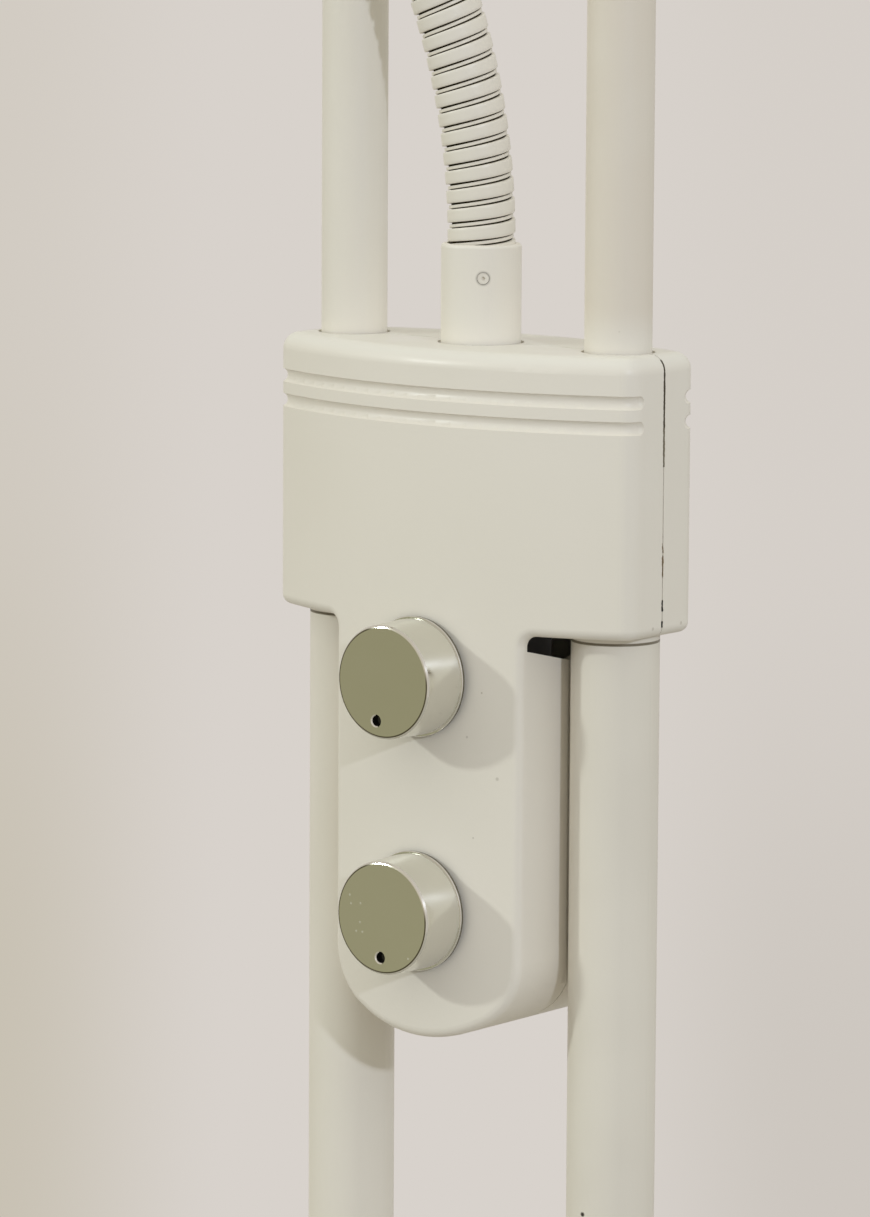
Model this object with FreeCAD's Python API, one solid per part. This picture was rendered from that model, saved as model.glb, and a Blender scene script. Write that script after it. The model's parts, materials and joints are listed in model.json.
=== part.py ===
import FreeCAD, Part
import math
import os

V = FreeCAD.Vector
X_AXIS = V(1, 0, 0)
Y_AXIS = V(0, 1, 0)
Z_AXIS = V(0, 0, 1)

# Clearances, in millimetres as everything here
FIT = 0.1
RUN = 0.06
PLAY = 0.3

# Stem tubes
TUBE_SPACING = 94.0
LOWER_TUBE_DIAMETER = 25.0
UPPER_TUBE_DIAMETER = 19.0
TUBE_WALL = 1.5
HOUSING_TOP = 1100.0
UPPER_TUBE_TOP = 1760.0

# Base
BASE_RADIUS = 145.0
BASE_HEIGHT = 30.0
BASE_EDGE = 8.0
COVER_WALL = 1.5
PAD_THICKNESS = 2.5
PAD_INSET = 6.0
WEIGHT_FLANGE = 3.5
WEIGHT_HEIGHT = 20.0
STUD_RADIUS = 5.0
STUD_BORE = 3.2
STUD_PLUG_LENGTH = 40.0
STUD_NUT_FLATS = 17.0
STUD_NUT_HEIGHT = 8.0
GLAND_BORE = 3.6
GLAND_NECK = 6.0
GLAND_LIP = 2.0

# Control housing
SHELL_WALL = 2.5
SEAM_GAP = 0.4
HOLE_GAP = 0.9
BLOCK_HEIGHT = 78.8
BLOCK_SIDE_GAP = 1.0
FRONT_SPACE = 14.5
FACE_RADIUS = 138.0
CORNER_RADIUS = 6.0
TOP_EDGE_RADIUS = 4.8
LOW_EDGE_RADIUS = 2.8
TONGUE_CLEARANCE = 1.6
TONGUE_JOIN_RADIUS = 3.2
TONGUE_CORNER_RADIUS = 20.0
TONGUE_FOOT_RADIUS = 45.0
TONGUE_FOOT_DROP = 36.7
FLANK_SETBACK = 3.2
FLANK_RECESS = 3.4
GROOVE_WIDTH = 3.8
GROOVE_DEPTH = 1.3
FIRST_GROOVE_DROP = 12.4
GROOVE_PITCH = 7.1
GROOVE_WRAP = 82.0
NOTCH_LENGTH = 22.4
NOTCH_FRONT_DROP = 4.5
NOTCH_REAR_DROP = 9.6
BOSS_RADIUS = 4.0
SHELL_SCREW_RADIUS = 1.4

# Tube joint inside the housing
LOWER_TUBE_STOP = 12.0
UPPER_TUBE_PLUG = 30.0
BUSH_FLANGE = 2.0
LOCK_SCREW_RADIUS = 2.5

# Controls
KNOB_BELOW_BLOCK = 13.6
KNOB_PITCH = 67.0
KNOB_LENGTH = 15.6
KNOB_GAP = 0.6
KNOB_FACE_RADIUS = 15.5
KNOB_BASE_RADIUS = 16.6
KNOB_LIP_RADIUS = 17.1
KNOB_LIP = 1.2
KNOB_BEVEL = 0.6
KNOB_WALL = 2.2
KNOB_CROWN = 3.0
KNOB_MARK_RADIUS = 1.45
KNOB_MARK_DEPTH = 1.6
KNOB_MARK_FLARE = 0.4
KNOB_MARK_OFFSET = 11.4
UPPER_MARK_ANGLE = 12.0
LOWER_MARK_ANGLE = 3.0
SPINDLE_RADIUS = 3.0
DIMMER_BUSH_RADIUS = 5.0
DIMMER_NUT_FLATS = 14.0
DIMMER_NUT_HEIGHT = 3.0
CASE_RISE = 28.0
CASE_FALL = 22.0
CASE_DEPTH = 19.0

# Chassis and terminal block
CHASSIS_SHEET = 1.5
CHASSIS_SCREW_RADIUS = 2.0
TERMINAL_HALF_WIDTH = 15.0
TERMINAL_HEIGHT = 14.0

# Gooseneck
NECK_SETOUT = 1.5
HOSE_RADIUS = 9.4
HOSE_BORE = 7.9
HOSE_GROOVE = 0.7
HOSE_PITCH = 5.5
HOSE_BAND = 0.76
HOSE_RISE = 0.07
NECK_RADIUS = 225.0
NECK_SWIVEL = -52.0
FERRULE_WALL = 1.7
FERRULE_HEIGHT = 28.0
FERRULE_FLANGE = 3.3
FERRULE_NUT_HEIGHT = 5.0
SET_SCREW_RADIUS = 1.65
SET_SCREW_HEIGHT = 18.8
SET_SCREW_ANGLE = 40.0
SOCKET_FLATS = 1.0
SOCKET_DEPTH = 0.7
CABLE_RADIUS = 3.0

# Reading head
SHADE_TOP_RADIUS = 24.0
SHADE_MOUTH_RADIUS = 37.0
SHADE_LENGTH = 113.0
SHADE_WALL = 1.2
SHADE_EDGE = 5.0
VENT_COUNT = 8
VENT_RADIUS = 2.2
NIPPLE_RADIUS = 5.0
HOLDER_RADIUS = 14.0
HOLDER_LENGTH = 40.0
CAP_RADIUS = 7.0
CAP_LENGTH = 25.0
BULB_RADIUS = 25.0
BULB_LENGTH = 58.0
BULB_WALL = 1.2

# Uplight head
BRIDGE_MARGIN = 17.0
BRIDGE_HEIGHT = 36.0
BRIDGE_EDGE = 4.0
BRIDGE_SOCKET = 28.0
BOWL_RADIUS = 150.0
BOWL_DEPTH = 82.0
BOWL_WALL = 1.5
BOWL_SIDE_RADIUS = 125.0
BOWL_BEAD = 2.6
BRACKET_SHEET = 1.5
BRACKET_HALF_WIDTH = 16.0
LAMP_HALF_LENGTH = 57.0
LAMP_TUBE_RADIUS = 5.5
LAMP_CAP_RADIUS = 3.6
LAMP_CAP_LENGTH = 14.0
LAMP_HEIGHT = 34.0
CERAMIC_LENGTH = 16.0
CERAMIC_HALF_WIDTH = 9.0
REFLECTOR_RADIUS = 40.0
REFLECTOR_SHEET = 1.0
REFLECTOR_RAISE = 15.0
REFLECTOR_FLAT = 12.0
REFLECTOR_HALF_LENGTH = 49.0
GLASS_THICKNESS = 4.0
GLASS_MARGIN = 3.0
CONNECTOR_HEIGHT = 10.0

# Derived places
TUBE_X = TUBE_SPACING / 2
LOWER_R = LOWER_TUBE_DIAMETER / 2
UPPER_R = UPPER_TUBE_DIAMETER / 2
LOWER_BORE = LOWER_R - TUBE_WALL
UPPER_BORE = UPPER_R - TUBE_WALL
SIDES = (-1, 1)

HALF_WIDTH = TUBE_X + LOWER_R + BLOCK_SIDE_GAP + SHELL_WALL
HALF_DEPTH = LOWER_R + FRONT_SPACE + SHELL_WALL
BLOCK_BOTTOM = HOUSING_TOP - BLOCK_HEIGHT
TONGUE_X = TUBE_X - LOWER_R - TONGUE_CLEARANCE
RECESS_X = TUBE_X - LOWER_R - FLANK_RECESS
UPPER_KNOB_Z = BLOCK_BOTTOM - KNOB_BELOW_BLOCK
LOWER_KNOB_Z = UPPER_KNOB_Z - KNOB_PITCH
FOOT_Z = LOWER_KNOB_Z - TONGUE_FOOT_DROP

LOWER_TUBE_TOP = HOUSING_TOP - LOWER_TUBE_STOP
UPPER_TUBE_END = LOWER_TUBE_TOP - UPPER_TUBE_PLUG
BUSH_END = UPPER_TUBE_END - BUSH_FLANGE

CASE_X = RECESS_X - SHELL_WALL - 0.5
CASE_FRONT = HALF_DEPTH - FACE_RADIUS + math.sqrt((FACE_RADIUS - SHELL_WALL) ** 2 - CASE_X ** 2) - 0.5
CASE_REAR = CASE_FRONT - CASE_DEPTH
TERMINAL_Z = UPPER_KNOB_Z + CASE_RISE + 2.7
CABLE_Z = TERMINAL_Z + TERMINAL_HEIGHT / 2
CABLE_BEND = LOWER_BORE - CABLE_RADIUS
CHASSIS_Y = LOWER_R + FIT
BOSS_Z = LOWER_TUBE_TOP - UPPER_TUBE_PLUG + 2.0
BOSS_X = TUBE_X - LOWER_R - PLAY - BOSS_RADIUS - 6.0
FOOT_BOSS_Z = FOOT_Z + SHELL_WALL + BOSS_RADIUS + 1.0
SHELL_SCREW_SEAT = HALF_DEPTH - SHELL_WALL - 8.0

FERRULE_RADIUS = HOSE_RADIUS + PLAY + FERRULE_WALL
FERRULE_BORE = HOSE_RADIUS + PLAY
TAB_TOP = HOUSING_TOP - SHELL_WALL - PLAY - FERRULE_FLANGE
TAB_BOTTOM = TAB_TOP - CHASSIS_SHEET
FERRULE_END = TAB_BOTTOM - FERRULE_NUT_HEIGHT - 1.5
HOSE_START = HOUSING_TOP + FERRULE_HEIGHT
HOSE_STRAIGHT = 2 * HOSE_RADIUS
NECK_Y = -NECK_SETOUT
TIP_Y = NECK_Y - 2 * NECK_RADIUS
SHADE_TOP = HOSE_START - FERRULE_HEIGHT

BRIDGE_BOTTOM = UPPER_TUBE_TOP - BRIDGE_SOCKET
BRIDGE_TOP = BRIDGE_BOTTOM + BRIDGE_HEIGHT
BRIDGE_R = BRIDGE_MARGIN
BOWL_FLOOR = BRIDGE_TOP + BOWL_WALL
FLOOR_RADIUS = TUBE_X + BRIDGE_R + 2.0
BRACKET_X = LAMP_HALF_LENGTH + CERAMIC_LENGTH - 6.0
LAMP_Z = BOWL_FLOOR + LAMP_HEIGHT
GLASS_Z = BOWL_FLOOR + LAMP_HEIGHT + LAMP_TUBE_RADIUS + 10.0


def cylinder(radius, height, base, axis=Z_AXIS):
    return Part.makeCylinder(radius, height, base, axis)


def sleeve(outer, inner, height, base, axis=Z_AXIS):
    return cylinder(outer, height, base, axis).cut(cylinder(inner, height, base, axis))


def block(x0, x1, y0, y1, z0, z1):
    return Part.makeBox(x1 - x0, y1 - y0, z1 - z0, V(x0, y0, z0))


def hexagon(flats, height, base, axis=Z_AXIS):
    """A hexagonal prism with the given distance over flats."""
    corner = flats / math.sqrt(3)
    side = X_AXIS
    other = axis.cross(side)
    points = []
    for step in range(7):
        turn = math.radians(60 * step)
        points.append(base + side * (corner * math.cos(turn)) + other * (corner * math.sin(turn)))
    return Part.Face(Part.makePolygon(points)).extrude(axis * height)


def spun(points, base):
    """A solid turned about a vertical axis from (radius, height) points above base."""
    wire = Part.makePolygon([base + V(r, 0, z) for r, z in points + points[:1]])
    return Part.Face(wire).revolve(base, Z_AXIS, 360)


def arc(p1, p2, p3):
    return Part.Arc(p1, p2, p3).toShape()


def line(p1, p2):
    return Part.LineSegment(p1, p2).toShape()


def sharp_edges(solid):
    """Edges whose two faces meet at an angle."""
    found = []
    for edge in solid.Edges:
        faces = solid.ancestorsOfType(edge, Part.Face)
        if len(faces) != 2:
            continue
        middle = edge.valueAt((edge.FirstParameter + edge.LastParameter) / 2)
        normals = [f.normalAt(*f.Surface.parameter(middle)) for f in faces]
        if normals[0].getAngle(normals[1]) > 0.15:
            found.append(edge)
    return found


# Base

def base_pad():
    return cylinder(BASE_RADIUS - PAD_INSET, PAD_THICKNESS, V(0, 0, 0))


def base_weight():
    """Cast disc with a rim flange, a boss under each stem, nut pockets and the cord channel."""
    inner = BASE_RADIUS - COVER_WALL - 0.5
    top = PAD_THICKNESS + WEIGHT_HEIGHT
    seat = BASE_HEIGHT - COVER_WALL
    solid = cylinder(BASE_RADIUS - 0.4, WEIGHT_FLANGE, V(0, 0, PAD_THICKNESS))
    solid = solid.fuse(cylinder(inner, WEIGHT_HEIGHT, V(0, 0, PAD_THICKNESS)))
    for side in SIDES:
        solid = solid.fuse(cylinder(LOWER_R + 4, seat - PAD_THICKNESS, V(side * TUBE_X, 0, PAD_THICKNESS)))
    channel = PAD_THICKNESS + WEIGHT_HEIGHT - 3.0
    width = GLAND_NECK + 2.0
    solid = solid.cut(block(-width, width, -width, BASE_RADIUS, PAD_THICKNESS, channel))
    solid = solid.cut(block(-TUBE_X, width, -width, width, PAD_THICKNESS, channel))
    for side in SIDES:
        place = V(side * TUBE_X, 0, PAD_THICKNESS)
        solid = solid.cut(cylinder(STUD_RADIUS + FIT, seat, place))
        solid = solid.cut(cylinder(STUD_NUT_FLATS * 0.7, STUD_NUT_HEIGHT + 2.5, place))
    return solid.cut(block(-width, width, inner - 12, BASE_RADIUS, PAD_THICKNESS + WEIGHT_FLANGE, top))


def base_cover():
    """Pressed cover: its skirt stands on the flange of the weight."""
    foot = PAD_THICKNESS + WEIGHT_FLANGE
    edge = BASE_EDGE
    outer = cylinder(BASE_RADIUS, BASE_HEIGHT - foot, V(0, 0, foot))
    outer = outer.makeFillet(edge, [e for e in outer.Edges if e.BoundBox.ZMin > BASE_HEIGHT - 0.01])
    inside = cylinder(BASE_RADIUS - COVER_WALL, BASE_HEIGHT - foot - COVER_WALL, V(0, 0, foot))
    roof = BASE_HEIGHT - COVER_WALL - 0.01
    inside = inside.makeFillet(edge - COVER_WALL, [e for e in inside.Edges if e.BoundBox.ZMin > roof])
    solid = outer.cut(inside)
    for side in SIDES:
        solid = solid.cut(cylinder(STUD_RADIUS + FIT, 2 * BASE_HEIGHT, V(side * TUBE_X, 0, 0)))
    return solid.cut(cylinder(GLAND_NECK + FIT, 10, V(0, BASE_RADIUS - 6, gland_height()), Y_AXIS))


def gland_height():
    return PAD_THICKNESS + WEIGHT_FLANGE + GLAND_NECK + GLAND_LIP + 0.6


def cord_gland():
    """Rubber gland snapped into the skirt of the cover."""
    z = gland_height()
    wall_in = BASE_RADIUS - COVER_WALL - 0.4
    neck = cylinder(GLAND_NECK, COVER_WALL + 0.8, V(0, wall_in, z), Y_AXIS)
    lip = cylinder(GLAND_NECK + GLAND_LIP, 3.0, V(0, BASE_RADIUS, z), Y_AXIS)
    back = cylinder(GLAND_NECK + GLAND_LIP - 0.6, 2.5, V(0, wall_in - 2.3, z), Y_AXIS)
    skirt = cylinder(BASE_RADIUS, BASE_HEIGHT, V(0, 0, 0)).cut(
        cylinder(BASE_RADIUS - COVER_WALL, BASE_HEIGHT, V(0, 0, 0)))
    skirt = skirt.cut(cylinder(GLAND_NECK + FIT, 10, V(0, BASE_RADIUS - 6, z), Y_AXIS))
    solid = neck.fuse([lip, back]).cut(skirt)
    solid = solid.cut(cylinder(GLAND_BORE, 20, V(0, wall_in - 8, z), Y_AXIS))
    return max(solid.Solids, key=lambda piece: piece.Volume)


def stem_studs():
    """Hollow studs: a plug inside each lower tube and a thread down through the base."""
    solids = []
    nut_seat = PAD_THICKNESS + STUD_NUT_HEIGHT + 2.5
    thread_end = nut_seat - STUD_NUT_HEIGHT - 1.0
    for side in SIDES:
        x = side * TUBE_X
        plug = cylinder(LOWER_BORE - FIT, STUD_PLUG_LENGTH, V(x, 0, BASE_HEIGHT))
        thread = cylinder(STUD_RADIUS, BASE_HEIGHT - thread_end, V(x, 0, thread_end))
        bore = cylinder(STUD_BORE, BASE_HEIGHT + STUD_PLUG_LENGTH, V(x, 0, 0))
        solids.append(plug.fuse(thread).cut(bore).removeSplitter())
    return Part.makeCompound(solids)


def stud_nuts():
    seat = PAD_THICKNESS + STUD_NUT_HEIGHT + 2.5
    solids = []
    for side in SIDES:
        place = V(side * TUBE_X, 0, seat - STUD_NUT_HEIGHT)
        nut = hexagon(STUD_NUT_FLATS, STUD_NUT_HEIGHT, place)
        solids.append(nut.cut(cylinder(STUD_RADIUS + FIT, STUD_NUT_HEIGHT, place)))
    return Part.makeCompound(solids)


# Stem tubes

def lower_tube(side):
    x = side * TUBE_X
    height = LOWER_TUBE_TOP - BASE_HEIGHT
    solid = sleeve(LOWER_R, LOWER_BORE, height, V(x, 0, BASE_HEIGHT))
    lock = cylinder(LOCK_SCREW_RADIUS + FIT, LOWER_R + 2, V(x, 0, lock_height()), V(0, -1, 0))
    solid = solid.cut(lock)
    for z in chassis_screw_heights():
        solid = solid.cut(cylinder(CHASSIS_SCREW_RADIUS + FIT, LOWER_R + 2, V(x, 0, z), Y_AXIS))
    if side > 0:
        solid = solid.cut(cylinder(CABLE_RADIUS + 1.5, LOWER_R + 2, V(x, 0, CABLE_Z), V(-1, 0, 0)))
    return solid


def lock_height():
    return LOWER_TUBE_TOP - UPPER_TUBE_PLUG / 2


def tube_bush(side):
    """Reducing bush: the lower tube carries its flange and the upper tube stands on its step."""
    x = side * TUBE_X
    height = LOWER_TUBE_TOP - BUSH_END
    solid = cylinder(LOWER_BORE - FIT, height, V(x, 0, BUSH_END))
    solid = solid.fuse(cylinder(LOWER_R, BUSH_FLANGE, V(x, 0, LOWER_TUBE_TOP)))
    solid = solid.cut(cylinder(UPPER_R + FIT, height + BUSH_FLANGE, V(x, 0, UPPER_TUBE_END)))
    solid = solid.cut(cylinder(UPPER_BORE - 0.5, height, V(x, 0, BUSH_END)))
    return solid.cut(cylinder(LOCK_SCREW_RADIUS + FIT, LOWER_R, V(x, 0, lock_height()), V(0, -1, 0)))


def tube_lock_screws():
    solids = []
    for side in SIDES:
        base = V(side * TUBE_X, -(UPPER_R + 0.2), lock_height())
        length = LOWER_R + 1.0 - UPPER_R
        screw = cylinder(LOCK_SCREW_RADIUS, length, base, V(0, -1, 0))
        slot_y = base.y - length
        slot = block(base.x - 3, base.x + 3, slot_y, slot_y + 1.0, base.z - 0.4, base.z + 0.4)
        solids.append(screw.cut(slot))
    return Part.makeCompound(solids)


def upper_tube(side):
    x = side * TUBE_X
    return sleeve(UPPER_R, UPPER_BORE, UPPER_TUBE_TOP - UPPER_TUBE_END, V(x, 0, UPPER_TUBE_END))


# Control housing

def plan_face(inset, z):
    """Outline of the block from above: two shallow arcs joined by rounded corners."""
    width = HALF_WIDTH - inset
    radius = FACE_RADIUS - inset
    corner = CORNER_RADIUS - inset
    centre = FACE_RADIUS - HALF_DEPTH
    corner_x = width - corner
    corner_y = centre - math.sqrt((radius - corner) ** 2 - corner_x ** 2)
    swing = math.atan2(corner_x, centre - corner_y)
    touch = V(radius * math.sin(swing), centre - radius * math.cos(swing), z)
    half = (math.pi / 2 + swing) / 2
    bend = V(corner_x + corner * math.sin(half), corner_y - corner * math.cos(half), z)
    flat = V(width, corner_y, z)
    nose = V(0, centre - radius, z)

    def at(point, sx, sy):
        return V(point.x * sx, point.y * sy, z)

    edges = [arc(at(touch, -1, 1), nose, touch)]
    edges.append(arc(touch, bend, flat))
    edges.append(line(flat, at(flat, 1, -1)))
    edges.append(arc(at(flat, 1, -1), at(bend, 1, -1), at(touch, 1, -1)))
    edges.append(arc(at(touch, 1, -1), at(nose, 1, -1), at(touch, -1, -1)))
    edges.append(arc(at(touch, -1, -1), at(bend, -1, -1), at(flat, -1, -1)))
    edges.append(line(at(flat, -1, -1), at(flat, -1, 1)))
    edges.append(arc(at(flat, -1, 1), at(bend, -1, 1), at(touch, -1, 1)))
    return Part.Face(Part.Wire(edges))


def front_face(inset, y):
    """Outline of the housing from the front: the block and the round-footed tongue below it."""
    side = HALF_WIDTH + 5.0
    top = HOUSING_TOP - inset
    under = BLOCK_BOTTOM + inset
    flank = TONGUE_X - inset
    join = TONGUE_JOIN_RADIUS + inset
    foot = TONGUE_FOOT_RADIUS - inset
    foot_z = FOOT_Z + TONGUE_FOOT_RADIUS
    corner = min(TONGUE_CORNER_RADIUS, TONGUE_X - 6.0) - inset
    corner_x = flank - corner
    corner_z = foot_z - math.sqrt((foot - corner) ** 2 - corner_x ** 2)
    swing = math.atan2(corner_x, foot_z - corner_z)
    half = (math.pi / 2 + swing) / 2
    touch = V(foot * math.sin(swing), y, foot_z - foot * math.cos(swing))
    bend = V(corner_x + corner * math.sin(half), y, corner_z - corner * math.cos(half))
    start = V(flank, y, corner_z)
    join_low = V(flank, y, under - join)
    join_mid = V(flank + join * (1 - math.sqrt(0.5)), y, under - join * (1 - math.sqrt(0.5)))
    join_top = V(flank + join, y, under)
    lowest = V(0, y, foot_z - foot)

    def flip(point):
        return V(-point.x, y, point.z)

    edges = [line(V(-side, y, top), V(side, y, top))]
    edges.append(line(V(side, y, top), V(side, y, under)))
    edges.append(line(V(side, y, under), join_top))
    edges.append(arc(join_top, join_mid, join_low))
    edges.append(line(join_low, start))
    edges.append(arc(start, bend, touch))
    edges.append(arc(touch, lowest, flip(touch)))
    edges.append(arc(flip(touch), flip(bend), flip(start)))
    edges.append(line(flip(start), flip(join_low)))
    edges.append(arc(flip(join_low), flip(join_mid), flip(join_top)))
    edges.append(line(flip(join_top), V(-side, y, under)))
    edges.append(line(V(-side, y, under), V(-side, y, top)))
    return Part.Face(Part.Wire(edges))


def housing_form(inset):
    """The closed form of both shells together, moved inwards by inset."""
    depth = HALF_DEPTH + 5.0
    tall = plan_face(inset, FOOT_Z - 5.0).extrude(V(0, 0, HOUSING_TOP - FOOT_Z + 10.0))
    deep = front_face(inset, -depth).extrude(V(0, 2 * depth, 0))
    solid = tall.common(deep).Solids[0]
    top_edge = max(min(TOP_EDGE_RADIUS, CORNER_RADIUS - 0.5) - inset, 0.8)
    low_edge = max(min(LOW_EDGE_RADIUS, CORNER_RADIUS - 0.5) - inset, 0.8)
    roof = HOUSING_TOP - inset - 0.01
    solid = solid.makeFillet(top_edge, [e for e in sharp_edges(solid) if e.BoundBox.ZMin > roof])
    solid = solid.makeFillet(low_edge, [e for e in sharp_edges(solid) if e.BoundBox.ZMin < roof - 10])
    top = BLOCK_BOTTOM + inset
    reach = FLANK_SETBACK + inset
    for side in SIDES:
        near = side * (RECESS_X - inset)
        far = side * (TONGUE_X + TONGUE_JOIN_RADIUS + 3.0)
        x0, x1 = min(near, far), max(near, far)
        solid = solid.cut(block(x0, x1, -reach, reach, FOOT_Z - 5.0, top))
    return solid


def groove_tools():
    """Rings that cut the two shallow grooves along the faces and round the corners, where they run out."""
    section = (GROOVE_WIDTH ** 2 / 4 + GROOVE_DEPTH ** 2) / (2 * GROOVE_DEPTH)
    lift = section - GROOVE_DEPTH
    centre = FACE_RADIUS - HALF_DEPTH
    corner_x = HALF_WIDTH - CORNER_RADIUS
    corner_y = centre - math.sqrt((FACE_RADIUS - CORNER_RADIUS) ** 2 - corner_x ** 2)
    swing = math.degrees(math.atan2(corner_x, centre - corner_y))
    stop = math.radians(GROOVE_WRAP)
    reach = CORNER_RADIUS + lift
    tools = []
    for step in range(2):
        z = HOUSING_TOP - FIRST_GROOVE_DROP - step * GROOVE_PITCH
        for way in SIDES:
            tools.append(Part.makeTorus(FACE_RADIUS + lift, section, V(0, way * centre, z), Z_AXIS))
            for side in SIDES:
                pivot = V(side * corner_x, way * corner_y, z)
                end = pivot + V(side * reach * math.sin(stop), -way * reach * math.cos(stop), 0)
                start = math.radians(swing)
                begin = pivot + V(side * reach * math.sin(start), -way * reach * math.cos(start), 0)
                tangent = V(side * math.cos(start), way * math.sin(start), 0)
                disc = Part.Face(Part.Wire(Part.makeCircle(section, begin, tangent)))
                turn = side * way * (GROOVE_WRAP - swing)
                tools.append(disc.revolve(pivot, Z_AXIS, turn))
                tools.append(Part.makeSphere(section, end))
    return tools


def notch_tools():
    """Wedges that open the flanks just under the block."""
    top = BLOCK_BOTTOM - 0.01
    tools = []
    for way in SIDES:
        outline = [V(0, -way * NOTCH_LENGTH, top)]
        outline.append(V(0, -way * NOTCH_LENGTH, top - NOTCH_FRONT_DROP))
        outline.append(V(0, 0, top - NOTCH_REAR_DROP))
        outline.append(V(0, 0, top))
        wedge = Part.Face(Part.makePolygon(outline + outline[:1])).extrude(V(TONGUE_JOIN_RADIUS + 8, 0, 0))
        for side in SIDES:
            tool = wedge.copy()
            start = RECESS_X - SHELL_WALL - 0.1
            if side < 0:
                start = -start - TONGUE_JOIN_RADIUS - 8
            tool.translate(V(start, 0, 0))
            tools.append(tool)
    return tools


def boss_places():
    return [(-BOSS_X, BOSS_Z), (BOSS_X, BOSS_Z), (0.0, FOOT_BOSS_Z)]


def housing_shells():
    """Front and rear shells, split on the plane of the tube axes."""
    outer = housing_form(0.0)
    inner = housing_form(SHELL_WALL)
    solid = outer.cut(groove_tools()).cut(inner)
    solid = solid.cut(notch_tools())
    for x, z in boss_places():
        boss = cylinder(BOSS_RADIUS, 2 * HALF_DEPTH, V(x, -HALF_DEPTH, z), Y_AXIS)
        solid = solid.fuse(boss.common(inner))
    for side in SIDES:
        x = side * TUBE_X
        solid = solid.cut(cylinder(UPPER_R + HOLE_GAP, 20, V(x, 0, HOUSING_TOP - 10)))
        solid = solid.cut(cylinder(LOWER_R + PLAY, 20, V(x, 0, BLOCK_BOTTOM - 10)))
    solid = solid.cut(cylinder(FERRULE_RADIUS + HOLE_GAP, 20, V(0, NECK_Y, HOUSING_TOP - 10)))
    for z in (UPPER_KNOB_Z, LOWER_KNOB_Z):
        solid = solid.cut(cylinder(DIMMER_BUSH_RADIUS + FIT, HALF_DEPTH, V(0, 0, z), V(0, -1, 0)))
    tip = shell_screw_tip()
    for x, z in boss_places():
        solid = solid.cut(cylinder(SHELL_SCREW_RADIUS + FIT, HALF_DEPTH - tip, V(x, tip - 1, z), Y_AXIS))
        solid = solid.cut(cylinder(3.6, HALF_DEPTH, V(x, SHELL_SCREW_SEAT, z), Y_AXIS))
    reach = 2 * HOUSING_TOP
    front = solid.common(block(-reach, reach, -reach, -SEAM_GAP / 2, 0, reach))
    rear = solid.common(block(-reach, reach, SEAM_GAP / 2, reach, 0, reach))
    return front, rear


def shell_screw_tip():
    return -(HALF_DEPTH - SHELL_WALL - 9.0)


def housing_screws():
    solids = []
    for x, z in boss_places():
        seat = V(x, SHELL_SCREW_SEAT, z)
        head = cylinder(3.3, 2.4, seat, Y_AXIS)
        top = SHELL_SCREW_SEAT + 2.4
        head = head.cut(block(x - 4, x + 4, top - 0.9, top, z - 0.4, z + 0.4))
        shank = cylinder(SHELL_SCREW_RADIUS, SHELL_SCREW_SEAT - shell_screw_tip(), seat, V(0, -1, 0))
        solids.append(head.fuse(shank))
    return Part.makeCompound(solids)


def chassis_screw_heights():
    low = BLOCK_BOTTOM + SHELL_WALL + 6.0
    high = BUSH_END - CHASSIS_SCREW_RADIUS - 4.0
    return [low, high]


def chassis():
    """Bent sheet bracket: an upright behind the tubes and a tab that carries the ferrule."""
    back = CHASSIS_Y + CHASSIS_SHEET
    half = TUBE_X + 7.0
    low = BLOCK_BOTTOM + SHELL_WALL + 1.5
    solid = block(-half, half, CHASSIS_Y, back, low, LOWER_TUBE_TOP - 4.0)
    tab = FERRULE_RADIUS + 8.0
    solid = solid.fuse(block(-tab, tab, CHASSIS_Y, back, low, TAB_TOP))
    solid = solid.fuse(block(-tab, tab, NECK_Y - FERRULE_RADIUS - 4.5, back, TAB_BOTTOM, TAB_TOP))
    solid = solid.cut(cylinder(FERRULE_RADIUS + FIT, 10, V(0, NECK_Y, TAB_BOTTOM - 5)))
    relief = V(0, NECK_Y, TAB_BOTTOM - FERRULE_NUT_HEIGHT - PLAY)
    solid = solid.cut(cylinder(ferrule_nut_radius() + PLAY, FERRULE_NUT_HEIGHT + PLAY, relief))
    for x, z in boss_places()[:2]:
        solid = solid.cut(cylinder(BOSS_RADIUS + PLAY, 20, V(x, 0, z), Y_AXIS))
    for side in SIDES:
        for z in chassis_screw_heights():
            hole = cylinder(CHASSIS_SCREW_RADIUS + FIT, 20, V(side * TUBE_X, 0, z), Y_AXIS)
            solid = solid.cut(hole)
    return solid.removeSplitter()


def chassis_screws():
    solids = []
    back = CHASSIS_Y + CHASSIS_SHEET
    for side in SIDES:
        for z in chassis_screw_heights():
            x = side * TUBE_X
            head = cylinder(3.6, 2.0, V(x, back, z), Y_AXIS)
            head = head.cut(block(x - 4, x + 4, back + 1.1, back + 2.0, z - 0.4, z + 0.4))
            shank = cylinder(CHASSIS_SCREW_RADIUS, back - LOWER_BORE + 0.8, V(x, LOWER_BORE - 0.8, z), Y_AXIS)
            solids.append(head.fuse(shank))
    return Part.makeCompound(solids)


def terminal_block():
    """Connector strip on the chassis, with a row of screw wells and the way out for the cable."""
    half = TERMINAL_HALF_WIDTH
    solid = block(-half, half, -CABLE_RADIUS - 1.5, CHASSIS_Y, TERMINAL_Z, TERMINAL_Z + TERMINAL_HEIGHT)
    for step in range(3):
        x = (step - 1) * half * 0.62
        solid = solid.cut(cylinder(2.4, 4.0, V(x, 0, TERMINAL_Z + TERMINAL_HEIGHT - 4.0)))
    return solid.cut(cylinder(CABLE_RADIUS + FIT, 8.0, V(half, 0, CABLE_Z), V(-1, 0, 0)))


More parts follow.
